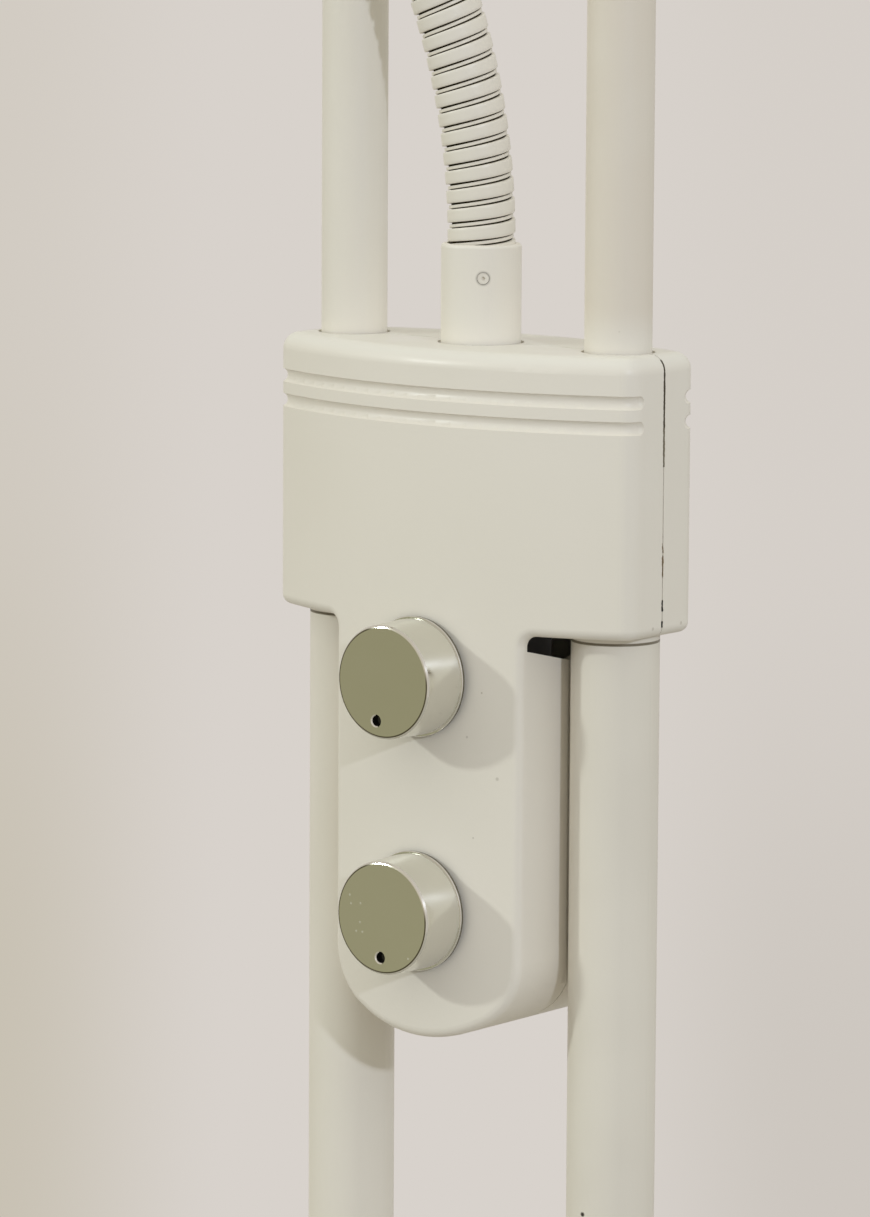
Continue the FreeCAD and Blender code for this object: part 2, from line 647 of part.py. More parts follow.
def uplight_cable():
    """From the terminal block into the right tube, then up to the connector in the head."""
    start = TERMINAL_HALF_WIDTH - 6.0
    bend = CABLE_BEND
    turn = TUBE_X - bend
    top = BOWL_FLOOR + 3.0
    run = cylinder(CABLE_RADIUS, turn - start, V(start, 0, CABLE_Z), X_AXIS)
    ring = Part.Face(Part.Wire(Part.makeCircle(CABLE_RADIUS, V(turn, 0, CABLE_Z), X_AXIS)))
    elbow = ring.revolve(V(turn, 0, CABLE_Z + bend), V(0, -1, 0), 90)
    rise = cylinder(CABLE_RADIUS, top - CABLE_Z - bend, V(TUBE_X, 0, CABLE_Z + bend))
    return run.fuse([elbow, rise]).removeSplitter()


# Controls

def dimmer(z):
    """Rotary dimmer: a closed case behind the face, with its threaded bush through the wall."""
    case = block(-CASE_X, CASE_X, -CASE_FRONT, -CASE_REAR, z - CASE_FALL, z + CASE_RISE)
    upright = [e for e in case.Edges if abs(e.tangentAt(e.FirstParameter).y) > 0.9]
    case = case.makeFillet(2.0, upright)
    inside = HALF_DEPTH - SHELL_WALL - PLAY
    shoulder = cylinder(8.0, inside - CASE_FRONT + 1.0, V(0, -CASE_FRONT + 1.0, z), V(0, -1, 0))
    end = HALF_DEPTH + DIMMER_NUT_HEIGHT + 0.4
    bush = cylinder(DIMMER_BUSH_RADIUS, end - CASE_FRONT + 1.0, V(0, -CASE_FRONT + 1.0, z), V(0, -1, 0))
    well = cylinder(SPINDLE_RADIUS + RUN, 60, V(0, -spindle_root(), z), V(0, -1, 0))
    return case.fuse([shoulder, bush]).cut(well).removeSplitter()


def spindle_root():
    return CASE_REAR + 5.0


def dimmer_nuts():
    solids = []
    for z in (UPPER_KNOB_Z, LOWER_KNOB_Z):
        nut = hexagon(DIMMER_NUT_FLATS, DIMMER_NUT_HEIGHT, V(0, -HALF_DEPTH, z), V(0, -1, 0))
        bore = cylinder(DIMMER_BUSH_RADIUS + FIT, DIMMER_NUT_HEIGHT, V(0, -HALF_DEPTH, z), V(0, -1, 0))
        solids.append(nut.cut(bore))
    return Part.makeCompound(solids)


def turned(points, z):
    """A solid turned about a knob axis from (radius, distance before the face) points."""
    wire = Part.makePolygon([V(r, -d, z) for r, d in points + points[:1]])
    return Part.Face(wire).revolve(V(0, 0, z), Y_AXIS, 360)


def knob_back():
    return HALF_DEPTH + KNOB_GAP


def knob(z, mark_angle):
    """Polished cap, hollow behind, with a drilled mark near the rim of its face."""
    back = knob_back()
    front = back + KNOB_LENGTH
    outline = [(0, back), (KNOB_LIP_RADIUS - 0.3, back), (KNOB_LIP_RADIUS, back + 0.3)]
    outline.append((KNOB_LIP_RADIUS, back + KNOB_LIP - 0.2))
    outline.append((KNOB_LIP_RADIUS - 0.2, back + KNOB_LIP))
    outline.append((KNOB_BASE_RADIUS, back + KNOB_LIP))
    outline.append((KNOB_FACE_RADIUS + KNOB_BEVEL, front - KNOB_BEVEL))
    outline.append((KNOB_FACE_RADIUS + 0.25 * KNOB_BEVEL, front - 0.2 * KNOB_BEVEL))
    outline.append((KNOB_FACE_RADIUS - 0.3 * KNOB_BEVEL, front))
    outline.append((0, front))
    solid = turned(outline, z)
    solid = solid.cut(cylinder(cap_bore(), KNOB_LENGTH - KNOB_CROWN, V(0, -back, z), V(0, -1, 0)))
    turn = math.radians(mark_angle)
    x = -KNOB_MARK_OFFSET * math.sin(turn)
    drop = KNOB_MARK_OFFSET * math.cos(turn)
    place = V(x, -front, z - drop)
    mark = cylinder(KNOB_MARK_RADIUS, KNOB_MARK_DEPTH, place, Y_AXIS)
    rim = KNOB_MARK_RADIUS + KNOB_MARK_FLARE
    flare = Part.makeCone(rim, KNOB_MARK_RADIUS - 0.1, KNOB_MARK_FLARE + 0.1, place, Y_AXIS)
    return solid.cut([mark, flare])


def cap_bore():
    return KNOB_FACE_RADIUS - KNOB_WALL


def knob_insert(z):
    """Plastic hub that fills the crown of the cap and grips the spindle."""
    back = knob_back()
    crown = back + KNOB_LENGTH - KNOB_CROWN
    hub_back = HALF_DEPTH + DIMMER_NUT_HEIGHT + 1.0
    outline = [(SPINDLE_RADIUS + FIT, hub_back), (SPINDLE_RADIUS + 3.0, hub_back)]
    outline.append((SPINDLE_RADIUS + 3.0, crown - 3.0))
    outline.append((cap_bore() - FIT, crown - 3.0))
    outline.append((cap_bore() - FIT, crown))
    outline.append((SPINDLE_RADIUS + FIT, crown))
    return turned(outline, z)


def spindle(z):
    end = knob_back() + KNOB_LENGTH - KNOB_CROWN - 0.5
    start = spindle_root() + 0.5
    return cylinder(SPINDLE_RADIUS, end - start, V(0, -start, z), V(0, -1, 0))


# Gooseneck

def neck_point(turn):
    """Centre of the hose at an angle along its bend, in radians from the ferrule."""
    return V(0, NECK_Y - NECK_RADIUS * (1 - math.cos(turn)), HOSE_START + NECK_RADIUS * math.sin(turn))


def swung(solid):
    """A piece of the neck, built towards the front, turned to the side where the neck hangs."""
    solid.rotate(V(0, NECK_Y, 0), Z_AXIS, NECK_SWIVEL)
    return solid


def neck_way(turn):
    return V(0, -math.sin(turn), math.cos(turn))


def neck_ring(point, way, radius):
    ring = Part.Circle()
    ring.Center = point
    ring.Axis = way
    ring.XAxis = X_AXIS
    ring.Radius = radius
    return Part.Wire(ring.toShape())


def bent_rod(radius, start, end):
    """A round rod that follows the bend between two angles."""
    disc = Part.Face(neck_ring(neck_point(start), neck_way(start), radius))
    return disc.revolve(V(0, NECK_Y - NECK_RADIUS, HOSE_START), X_AXIS, math.degrees(end - start))


def hose(third):
    """One third of the hose: ribs along the bend, and a plain straight end in each ferrule."""
    start = math.pi * third / 3
    end = math.pi * (third + 1) / 3
    count = max(6, round(NECK_RADIUS * (end - start) / HOSE_PITCH))
    step = (end - start) / count
    low = HOSE_RADIUS - HOSE_GROOVE
    rib_rings = (
        (0.0, low),
        (HOSE_RISE, HOSE_RADIUS),
        (HOSE_BAND, HOSE_RADIUS),
        (HOSE_BAND + HOSE_RISE, low),
    )
    rings = []
    for rib in range(count):
        for share, radius in rib_rings:
            turn = start + step * (rib + share)
            rings.append(neck_ring(neck_point(turn), neck_way(turn), radius))
    rings.append(neck_ring(neck_point(end), neck_way(end), low))
    solid = Part.makeLoft(rings, True, True)
    solid = solid.cut(bent_rod(HOSE_BORE, start, end))
    for turn, sign, wanted in ((0.0, -1, 0), (math.pi, 1, 2)):
        if third == wanted:
            way = neck_way(turn) * sign
            straight = sleeve(HOSE_RADIUS, HOSE_BORE, HOSE_STRAIGHT, neck_point(turn), way)
            solid = solid.fuse(straight)
    return solid


def neck_cable(third):
    """The flex inside one third of the hose."""
    solid = bent_rod(CABLE_RADIUS, math.pi * third / 3, math.pi * (third + 1) / 3)
    if third == 0:
        length = HOSE_START - FERRULE_END + 2.0
        solid = solid.fuse(cylinder(CABLE_RADIUS, length, neck_point(0.0), V(0, 0, -1)))
    if third == 2:
        solid = solid.fuse(cylinder(CABLE_RADIUS, HOSE_STRAIGHT, neck_point(math.pi), V(0, 0, -1)))
    return solid.removeSplitter()


def set_screw(centre, angle, z):
    """Small socket screw in the wall of a ferrule."""
    turn = math.radians(angle)
    way = V(math.sin(turn), -math.cos(turn), 0)
    start = V(centre.x, centre.y, z) + way * (FERRULE_BORE + 0.1)
    end = FERRULE_RADIUS - 0.25
    screw = cylinder(SET_SCREW_RADIUS, end - FERRULE_BORE - 0.1, start, way)
    socket = hexagon(SOCKET_FLATS, SOCKET_DEPTH, V(0, 0, -SOCKET_DEPTH))
    socket.rotate(V(0, 0, 0), X_AXIS, 90)
    socket.rotate(V(0, 0, 0), Z_AXIS, angle)
    socket.translate(V(centre.x, centre.y, z) + way * end)
    return screw.cut(socket)


def set_screw_hole(centre, angle, z):
    turn = math.radians(angle)
    way = V(math.sin(turn), -math.cos(turn), 0)
    return cylinder(SET_SCREW_RADIUS + FIT, FERRULE_RADIUS + 2, V(centre.x, centre.y, z), way)


def neck_ferrule():
    """Sleeve on the housing: its flange sits on the chassis tab under the shell."""
    height = HOSE_START - FERRULE_END
    solid = cylinder(FERRULE_RADIUS, height, V(0, NECK_Y, FERRULE_END))
    solid = solid.makeFillet(1.0, [e for e in solid.Edges if e.BoundBox.ZMin > HOSE_START - 0.01])
    solid = solid.fuse(cylinder(FERRULE_RADIUS + 3.0, FERRULE_FLANGE, V(0, NECK_Y, TAB_TOP)))
    solid = solid.cut(cylinder(FERRULE_BORE, height, V(0, NECK_Y, FERRULE_END)))
    return solid.cut(set_screw_hole(V(0, NECK_Y, 0), SET_SCREW_ANGLE, HOUSING_TOP + SET_SCREW_HEIGHT))


def ferrule_nut_radius():
    return FERRULE_RADIUS + 4.0


def ferrule_nut():
    place = V(0, NECK_Y, TAB_BOTTOM - FERRULE_NUT_HEIGHT)
    return sleeve(ferrule_nut_radius(), FERRULE_RADIUS + FIT, FERRULE_NUT_HEIGHT, place)


def neck_root():
    """Swivelling end of the neck: a journal in the ferrule and a lip below it."""
    seat = HOSE_START - HOSE_STRAIGHT
    lip = FERRULE_END - PLAY
    solid = cylinder(FERRULE_BORE - RUN, seat - lip, V(0, NECK_Y, lip))
    solid = solid.fuse(cylinder(FERRULE_RADIUS, 3.0, V(0, NECK_Y, lip - 3.0)))
    return solid.cut(cylinder(CABLE_RADIUS + 1.0, 100, V(0, NECK_Y, lip - 10.0)))


# Reading head

def tip_ferrule():
    centre = V(0, TIP_Y, SHADE_TOP)
    solid = cylinder(FERRULE_RADIUS, FERRULE_HEIGHT, centre)
    solid = solid.makeFillet(1.0, [e for e in solid.Edges if e.BoundBox.ZMin > HOSE_START - 0.01])
    solid = solid.cut(cylinder(FERRULE_BORE, FERRULE_HEIGHT, V(0, TIP_Y, HOSE_START - HOSE_STRAIGHT)))
    solid = solid.cut(cylinder(NIPPLE_RADIUS + FIT, FERRULE_HEIGHT, centre))
    return solid.cut(set_screw_hole(centre, tip_screw_angle(), tip_screw_height()))


def tip_screw_angle():
    return 180.0


def tip_screw_height():
    return HOSE_START - HOSE_STRAIGHT / 2


def nipple():
    """Hollow threaded nipple through the ferrule, the shade and the lampholder."""
    top = HOSE_START - HOSE_STRAIGHT - 0.3
    low = SHADE_TOP - SHADE_WALL - 11.0
    return sleeve(NIPPLE_RADIUS, CABLE_RADIUS + 0.5, top - low, V(0, TIP_Y, low))


def reading_shade():
    """Spun shade, closed above but for a ring of vents, open below."""
    base = V(0, TIP_Y, SHADE_TOP)
    wall = SHADE_WALL
    top = SHADE_TOP_RADIUS
    mouth = SHADE_MOUTH_RADIUS
    edge = SHADE_EDGE
    low = -SHADE_LENGTH
    solid = spun([(0, 0), (top, 0), (mouth, low), (0, low)], base)
    shoulder = [e for e in solid.Edges if e.BoundBox.ZMin > SHADE_TOP - 0.01]
    solid = solid.makeFillet(edge, shoulder)
    inside = spun([(0, -wall), (top - wall, -wall), (mouth - wall, low), (0, low)], base)
    shoulder = [e for e in inside.Edges if e.BoundBox.ZMin > SHADE_TOP - wall - 0.01]
    inside = inside.makeFillet(edge - wall, shoulder)
    solid = solid.cut(inside)
    bead = Part.makeTorus(mouth - wall / 2, wall, base + V(0, 0, low + wall), Z_AXIS)
    solid = solid.fuse(bead)
    solid = solid.cut(cylinder(NIPPLE_RADIUS + FIT, 20, base + V(0, 0, -10)))
    ring = (FERRULE_RADIUS + SHADE_TOP_RADIUS - SHADE_EDGE) / 2
    for step in range(VENT_COUNT):
        turn = 2 * math.pi * (step + 0.5) / VENT_COUNT
        place = base + V(ring * math.cos(turn), ring * math.sin(turn), -10)
        solid = solid.cut(cylinder(VENT_RADIUS, 20, place))
    return solid


def reading_lampholder():
    top = SHADE_TOP - SHADE_WALL
    low = top - HOLDER_LENGTH
    solid = cylinder(HOLDER_RADIUS, HOLDER_LENGTH, V(0, TIP_Y, low))
    solid = solid.makeFillet(2.0, [e for e in solid.Edges if e.BoundBox.ZMax < low + 0.01])
    solid = solid.cut(cylinder(NIPPLE_RADIUS + FIT, 12.0, V(0, TIP_Y, top - 12.0)))
    return solid.cut(cylinder(CAP_RADIUS + FIT, CAP_LENGTH - 1.0, V(0, TIP_Y, low)))


def cap_top():
    return SHADE_TOP - SHADE_WALL - HOLDER_LENGTH + CAP_LENGTH - 1.0


def bulb_cap():
    """Screw cap of the reflector bulb with its centre contact."""
    top = cap_top()
    low = top - CAP_LENGTH
    points = [(0, 0), (CAP_RADIUS * 0.9, 0), (CAP_RADIUS, 1.5)]
    for thread in range(5):
        z = 3.0 + 2.8 * thread
        points.append((CAP_RADIUS - 0.6, z))
        points.append((CAP_RADIUS, z + 1.4))
    points.append((CAP_RADIUS - 0.6, 3.0 + 2.8 * 5))
    points.append((CAP_RADIUS - 1.5, CAP_LENGTH - 4.0))
    points.append((3.0, CAP_LENGTH - 1.5))
    points.append((2.0, CAP_LENGTH))
    points.append((0, CAP_LENGTH))
    return spun(points, V(0, TIP_Y, low))


def bulb_form(inset):
    """Outline of the reflector bulb turned to a solid: neck, flare, rounded rim and shallow dome."""
    top = cap_top() - CAP_LENGTH
    wide = BULB_RADIUS - inset
    length = BULB_LENGTH - inset
    neck = CAP_RADIUS * 0.9 - inset
    dome_r = 0.86 * wide
    dome_h = 0.12 * length
    dome = (dome_r ** 2 + dome_h ** 2) / (2 * dome_h)
    half = math.asin(dome_r / dome) / 2

    def at(across, down):
        return V(across, TIP_Y, top - down)

    waist = at(0.4 * wide, 0.18 * length)
    belly = at(wide, 0.76 * length)
    rim = at(dome_r, length - dome_h)
    tip = at(0, length)
    edges = [line(at(0, 0), at(neck, 0)), line(at(neck, 0), waist)]
    edges.append(arc(waist, at(0.83 * wide, 0.45 * length), belly))
    edges.append(arc(belly, at(0.965 * wide, 0.83 * length), rim))
    edges.append(arc(rim, at(dome * math.sin(half), length - dome * (1 - math.cos(half))), tip))
    edges.append(line(tip, at(0, 0)))
    return Part.Face(Part.Wire(edges)).revolve(V(0, TIP_Y, 0), Z_AXIS, 360)


def reading_bulb():
    """Blown glass of the reflector bulb, open into its cap."""
    return bulb_form(0.0).cut(bulb_form(BULB_WALL))


# Uplight head

def head_bridge():
    """Casting that joins the tops of the upper tubes and carries the bowl."""
    height = BRIDGE_HEIGHT
    solid = block(-TUBE_X, TUBE_X, -BRIDGE_R, BRIDGE_R, BRIDGE_BOTTOM, BRIDGE_TOP)
    for side in SIDES:
        solid = solid.fuse(cylinder(BRIDGE_R, height, V(side * TUBE_X, 0, BRIDGE_BOTTOM)))
    solid = solid.removeSplitter()
    low = BRIDGE_BOTTOM + 0.01
    solid = solid.makeFillet(BRIDGE_EDGE, [e for e in solid.Edges if e.BoundBox.ZMax < low])
    for side in SIDES:
        solid = solid.cut(cylinder(UPPER_R + FIT, BRIDGE_SOCKET, V(side * TUBE_X, 0, BRIDGE_BOTTOM)))
        lock_place = V(side * TUBE_X, 0, bridge_lock_height())
        solid = solid.cut(cylinder(LOCK_SCREW_RADIUS + FIT, BRIDGE_R + 2, lock_place, Y_AXIS))
    for x, y in bowl_screw_places():
        solid = solid.cut(cylinder(CHASSIS_SCREW_RADIUS + FIT, 7.5, V(x, y, BRIDGE_TOP - 7.5)))
    return solid.cut(cylinder(CABLE_RADIUS + 1.0, 20, V(TUBE_X, 0, BRIDGE_TOP - 10)))


def bridge_lock_height():
    return BRIDGE_BOTTOM + BRIDGE_SOCKET * 0.55


def bridge_lock_screws():
    solids = []
    z = bridge_lock_height()
    for side in SIDES:
        x = side * TUBE_X
        end = BRIDGE_R - 0.6
        screw = cylinder(LOCK_SCREW_RADIUS, end - UPPER_R - 0.2, V(x, UPPER_R + 0.2, z), Y_AXIS)
        solids.append(screw.cut(block(x - 3, x + 3, end - 1.0, end, z - 0.4, z + 0.4)))
    return Part.makeCompound(solids)


def bowl_screw_places():
    y = BRIDGE_R * 0.5
    return [(sx * TUBE_X * 0.55, sy * y) for sx in SIDES for sy in SIDES]


def bowl():
    """Spun bowl: a flat floor on the bridge, one curved side and a rolled bead."""
    rise = V(BOWL_RADIUS - FLOOR_RADIUS, 0, BOWL_DEPTH)
    chord = rise.Length
    middle = V(FLOOR_RADIUS, 0, 0) + rise * 0.5
    normal = V(-rise.z, 0, rise.x) * (1 / chord)
    radius = max(BOWL_SIDE_RADIUS, 0.55 * chord)
    centre = middle + normal * math.sqrt(radius ** 2 - chord ** 2 / 4)
    bulge = centre - normal * radius

    def inner(point):
        return point + (centre - point) * (BOWL_WALL / radius)

    low, high = V(FLOOR_RADIUS, 0, 0), V(BOWL_RADIUS, 0, BOWL_DEPTH)
    floor = inner(low)
    floor_in = V(floor.x - (BOWL_WALL - floor.z) * 0.5, 0, BOWL_WALL)
    edges = [line(V(0, 0, 0), low), arc(low, bulge, high), line(high, inner(high))]
    edges.append(arc(inner(high), inner(bulge), floor))
    edges.append(line(floor, floor_in))
    edges.append(line(floor_in, V(0, 0, BOWL_WALL)))
    edges.append(line(V(0, 0, BOWL_WALL), V(0, 0, 0)))
    solid = Part.Face(Part.Wire(edges)).revolve(V(0, 0, 0), Z_AXIS, 360)
    solid = solid.fuse(Part.makeTorus((high.x + inner(high).x) / 2, BOWL_BEAD, V(0, 0, BOWL_DEPTH), Z_AXIS))
    solid.translate(V(0, 0, BRIDGE_TOP))
    for x, y in bowl_screw_places():
        solid = solid.cut(cylinder(CHASSIS_SCREW_RADIUS + FIT, 20, V(x, y, BRIDGE_TOP - 10)))
    return solid.cut(cylinder(CABLE_RADIUS + 1.0, 20, V(TUBE_X, 0, BRIDGE_TOP - 10)))


def bowl_screws():
    solids = []
    seat = BOWL_FLOOR + BRACKET_SHEET
    for x, y in bowl_screw_places():
        head = cylinder(3.6, 2.2, V(x, y, seat))
        head = head.cut(block(x - 4, x + 4, y - 0.4, y + 0.4, seat + 1.2, seat + 2.2))
        shank = cylinder(CHASSIS_SCREW_RADIUS, seat - BRIDGE_TOP + 7.0, V(x, y, BRIDGE_TOP - 7.0))
        solids.append(head.fuse(shank))
    return Part.makeCompound(solids)


def lamp_brackets():
    """Bent strips: a foot under the bowl screws, a shelf for the reflector, an end for the lampholder."""
    solids = []
    sheet = BRACKET_SHEET
    half = BRACKET_HALF_WIDTH
    foot = TUBE_X * 0.55 - 7.0
    riser = TUBE_X + connector_half() + 2.0
    shelf_top = BOWL_FLOOR + REFLECTOR_RAISE
    top = LAMP_Z + CERAMIC_HALF_WIDTH
    end = BRACKET_X + sheet
    gap = connector_half() + 1.0
    window = CERAMIC_HALF_WIDTH * 0.5
    for side in SIDES:
        solid = side_block(side, foot, riser + sheet, half, BOWL_FLOOR, BOWL_FLOOR + sheet)
        solid = solid.fuse(side_block(side, riser, riser + sheet, half, BOWL_FLOOR, shelf_top))
        inner = REFLECTOR_HALF_LENGTH - 5.0
        solid = solid.fuse(side_block(side, inner, end, REFLECTOR_FLAT, shelf_top - sheet, shelf_top))
        solid = solid.fuse(side_block(side, BRACKET_X, end, REFLECTOR_FLAT, shelf_top - sheet, top))
        solid = solid.cut(side_block(side, BRACKET_X, end, window, LAMP_Z - window, LAMP_Z + window))
        solid = solid.cut(side_block(side, TUBE_X - gap, TUBE_X + gap, gap, BOWL_FLOOR, BOWL_FLOOR + sheet))
        for x, y in bowl_screw_places():
            solid = solid.cut(cylinder(CHASSIS_SCREW_RADIUS + FIT, 20, V(x, y, BOWL_FLOOR - 10)))
        solids.append(solid.removeSplitter())
    return Part.makeCompound(solids)


def side_block(side, near, far, half, z0, z1):
    """A block between two distances from the middle, on one side of it."""
    return block(min(side * near, side * far), max(side * near, side * far), -half, half, z0, z1)


def connector_half():
    return 9.0


def head_connector():
    """Ceramic connector over the cable hole in the floor of the bowl."""
    half = connector_half()
    solid = block(TUBE_X - half, TUBE_X + half, -half, half, BOWL_FLOOR, BOWL_FLOOR + CONNECTOR_HEIGHT)
    solid = solid.cut(cylinder(CABLE_RADIUS + FIT, 5.0, V(TUBE_X, 0, BOWL_FLOOR)))
    for side in SIDES:
        well = cylinder(2.2, 3.0, V(TUBE_X, side * 4.5, BOWL_FLOOR + CONNECTOR_HEIGHT - 3.0))
        solid = solid.cut(well)
    return solid


def lampholder(side):
    """Ceramic holder on the bracket, with a socket for the lamp end."""
    outer = side * BRACKET_X
    inner = outer - side * CERAMIC_LENGTH
    half = CERAMIC_HALF_WIDTH
    solid = block(min(outer, inner), max(outer, inner), -half, half, LAMP_Z - half, LAMP_Z + half)
    along = [e for e in solid.Edges if abs(e.tangentAt(e.FirstParameter).x) > 0.9]
    solid = solid.makeFillet(2.0, along)
    depth = abs(inner) - LAMP_HALF_LENGTH
    socket = cylinder(LAMP_CAP_RADIUS + FIT, abs(depth), V(inner, 0, LAMP_Z), V(side, 0, 0))
    return solid.cut(socket)


def halogen_caps():
    solids = []
    for side in SIDES:
        start = V(side * (LAMP_HALF_LENGTH - LAMP_CAP_LENGTH), 0, LAMP_Z)
        solids.append(cylinder(LAMP_CAP_RADIUS, LAMP_CAP_LENGTH, start, V(side, 0, 0)))
    return Part.makeCompound(solids)


def halogen_tube():
    """Quartz tube with pinched-down ends between the two caps."""
    end = LAMP_HALF_LENGTH - LAMP_CAP_LENGTH
    neck = LAMP_CAP_RADIUS * 0.8
    points = [(0, -end), (neck, -end), (neck, -end + 3), (LAMP_TUBE_RADIUS, -end + 8)]
    points += [(LAMP_TUBE_RADIUS, end - 8), (neck, end - 3), (neck, end), (0, end)]
    solid = spun(points, V(0, 0, 0))
    solid.rotate(V(0, 0, 0), Y_AXIS, 90)
    solid.translate(V(0, 0, LAMP_Z))
    return solid


def reflector():
    """Bent polished sheet under the lamp: a flat strip with a rounded wing on each side."""
    low = BOWL_FLOOR + REFLECTOR_RAISE
    flat = REFLECTOR_FLAT
    sheet = REFLECTOR_SHEET
    end = math.radians(62)
    big = REFLECTOR_RADIUS
    half = math.radians(31)

    def wing(radius, turn, side):
        return V(0, side * (flat + radius * math.sin(turn)), low + big - radius * math.cos(turn))

    x = -REFLECTOR_HALF_LENGTH
    edges = []
    outer, inner = big, big - sheet
    edges.append(line(wing(outer, 0, -1), wing(outer, 0, 1)))
    edges.append(arc(wing(outer, 0, 1), wing(outer, half, 1), wing(outer, end, 1)))
    edges.append(line(wing(outer, end, 1), wing(inner, end, 1)))
    edges.append(arc(wing(inner, end, 1), wing(inner, half, 1), wing(inner, 0, 1)))
    edges.append(line(wing(inner, 0, 1), wing(inner, 0, -1)))
    edges.append(arc(wing(inner, 0, -1), wing(inner, half, -1), wing(inner, end, -1)))
    edges.append(line(wing(inner, end, -1), wing(outer, end, -1)))
    edges.append(arc(wing(outer, end, -1), wing(outer, half, -1), wing(outer, 0, -1)))
    solid = Part.Face(Part.Wire(edges)).extrude(V(2 * REFLECTOR_HALF_LENGTH, 0, 0))
    solid.translate(V(x, 0, 0))
    return solid


def glass_half():
    return BRACKET_X + BRACKET_SHEET + GLASS_MARGIN


def glass_width():
    return REFLECTOR_FLAT + REFLECTOR_RADIUS * math.sin(math.radians(62)) + GLASS_MARGIN


def safety_glass():
    half = glass_half()
    wide = glass_width()
    solid = block(-half, half, -wide, wide, GLASS_Z, GLASS_Z + GLASS_THICKNESS)
    upright = [e for e in solid.Edges if abs(e.tangentAt(e.FirstParameter).z) > 0.9]
    return solid.makeFillet(6.0, upright)


def glass_clips():
    """Spring clips from the brackets over the two ends of the glass."""
    solids = []
    sheet = 1.0
    half = BRACKET_HALF_WIDTH * 0.6
    for side in SIDES:
        inner = side * (BRACKET_X + BRACKET_SHEET)
        outer = side * (glass_half() + 0.3)
        rim = outer + side * sheet
        low = LAMP_Z - 4.0
        top = GLASS_Z + GLASS_THICKNESS
        x0, x1 = min(inner, rim), max(inner, rim)
        solid = block(x0, x1, -half, half, low, low + sheet)
        solid = solid.fuse(block(min(outer, rim), max(outer, rim), -half, half, low, top + sheet))
        lip = outer - side * 5.0
        solid = solid.fuse(block(min(lip, rim), max(lip, rim), -half, half, top, top + sheet))
        shelf = block(x0, x1, -half, half, GLASS_Z - sheet, GLASS_Z)
        solid = solid.fuse(shelf)
        solids.append(solid.removeSplitter())
    return Part.makeCompound(solids)


def all_pieces():
    front, rear = housing_shells()
    pieces = {}
    pieces["base_pad"] = base_pad()
    pieces["base_weight"] = base_weight()
    pieces["base_cover"] = base_cover()
    pieces["cord_gland"] = cord_gland()
    pieces["stem_studs"] = stem_studs()
    pieces["stud_nuts"] = stud_nuts()
    pieces["lower_tube_left"] = lower_tube(-1)
    pieces["lower_tube_right"] = lower_tube(1)
    pieces["tube_bush_left"] = tube_bush(-1)
    pieces["tube_bush_right"] = tube_bush(1)
    pieces["tube_lock_screws"] = tube_lock_screws()
    pieces["upper_tube_left"] = upper_tube(-1)
    pieces["upper_tube_right"] = upper_tube(1)
    pieces["housing_front"] = front
    pieces["housing_rear"] = rear
    pieces["housing_screws"] = housing_screws()
    pieces["chassis"] = chassis()
    pieces["chassis_screws"] = chassis_screws()
    pieces["terminal_block"] = terminal_block()
    pieces["uplight_cable"] = uplight_cable()
    pieces["upper_dimmer"] = dimmer(UPPER_KNOB_Z)
    pieces["lower_dimmer"] = dimmer(LOWER_KNOB_Z)
    pieces["dimmer_nuts"] = dimmer_nuts()
    pieces["upper_knob"] = knob(UPPER_KNOB_Z, UPPER_MARK_ANGLE)
    pieces["lower_knob"] = knob(LOWER_KNOB_Z, LOWER_MARK_ANGLE)
    pieces["upper_knob_insert"] = knob_insert(UPPER_KNOB_Z)
    pieces["lower_knob_insert"] = knob_insert(LOWER_KNOB_Z)
    pieces["upper_spindle"] = spindle(UPPER_KNOB_Z)
    pieces["lower_spindle"] = spindle(LOWER_KNOB_Z)
    pieces["neck_ferrule"] = neck_ferrule()
    pieces["ferrule_nut"] = ferrule_nut()
    pieces["ferrule_screw"] = set_screw(V(0, NECK_Y, 0), SET_SCREW_ANGLE, HOUSING_TOP + SET_SCREW_HEIGHT)
    pieces["neck_root"] = neck_root()
    for third, name in enumerate(("lower", "middle", "upper")):
        pieces["hose_" + name] = swung(hose(third))
        pieces["neck_cable_" + name] = swung(neck_cable(third))
    pieces["tip_ferrule"] = swung(tip_ferrule())
    pieces["tip_screw"] = swung(set_screw(V(0, TIP_Y, 0), tip_screw_angle(), tip_screw_height()))
    pieces["nipple"] = swung(nipple())
    pieces["reading_shade"] = swung(reading_shade())
    pieces["reading_lampholder"] = swung(reading_lampholder())
    pieces["bulb_cap"] = swung(bulb_cap())
    pieces["reading_bulb"] = swung(reading_bulb())
    pieces["head_bridge"] = head_bridge()
    pieces["bridge_lock_screws"] = bridge_lock_screws()
    pieces["bowl"] = bowl()
    pieces["bowl_screws"] = bowl_screws()
    pieces["lamp_brackets"] = lamp_brackets()
    pieces["head_connector"] = head_connector()
    pieces["lampholder_left"] = lampholder(-1)
    pieces["lampholder_right"] = lampholder(1)
    pieces["halogen_caps"] = halogen_caps()
    pieces["halogen_tube"] = halogen_tube()
    pieces["reflector"] = reflector()
    pieces["safety_glass"] = safety_glass()
    pieces["glass_clips"] = glass_clips()
    return pieces


def main():
    os.makedirs("parts", exist_ok=True)
    for name, shape in all_pieces().items():
        good = shape.isValid() and all(s.Volume > 0 for s in shape.Solids)
        print(name, len(shape.Solids), round(shape.Volume), "ok" if good else "BAD")
        shape.exportStep("parts/" + name + ".step")


main()
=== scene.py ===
"""Twin-stem floor lamp with a gooseneck reading lamp: the looks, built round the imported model."""

from __future__ import annotations

import json
import logging
import math
from dataclasses import dataclass
from enum import Enum
from functools import reduce
from typing import Sequence

import bmesh
import bpy
from mathutils import Matrix, Vector


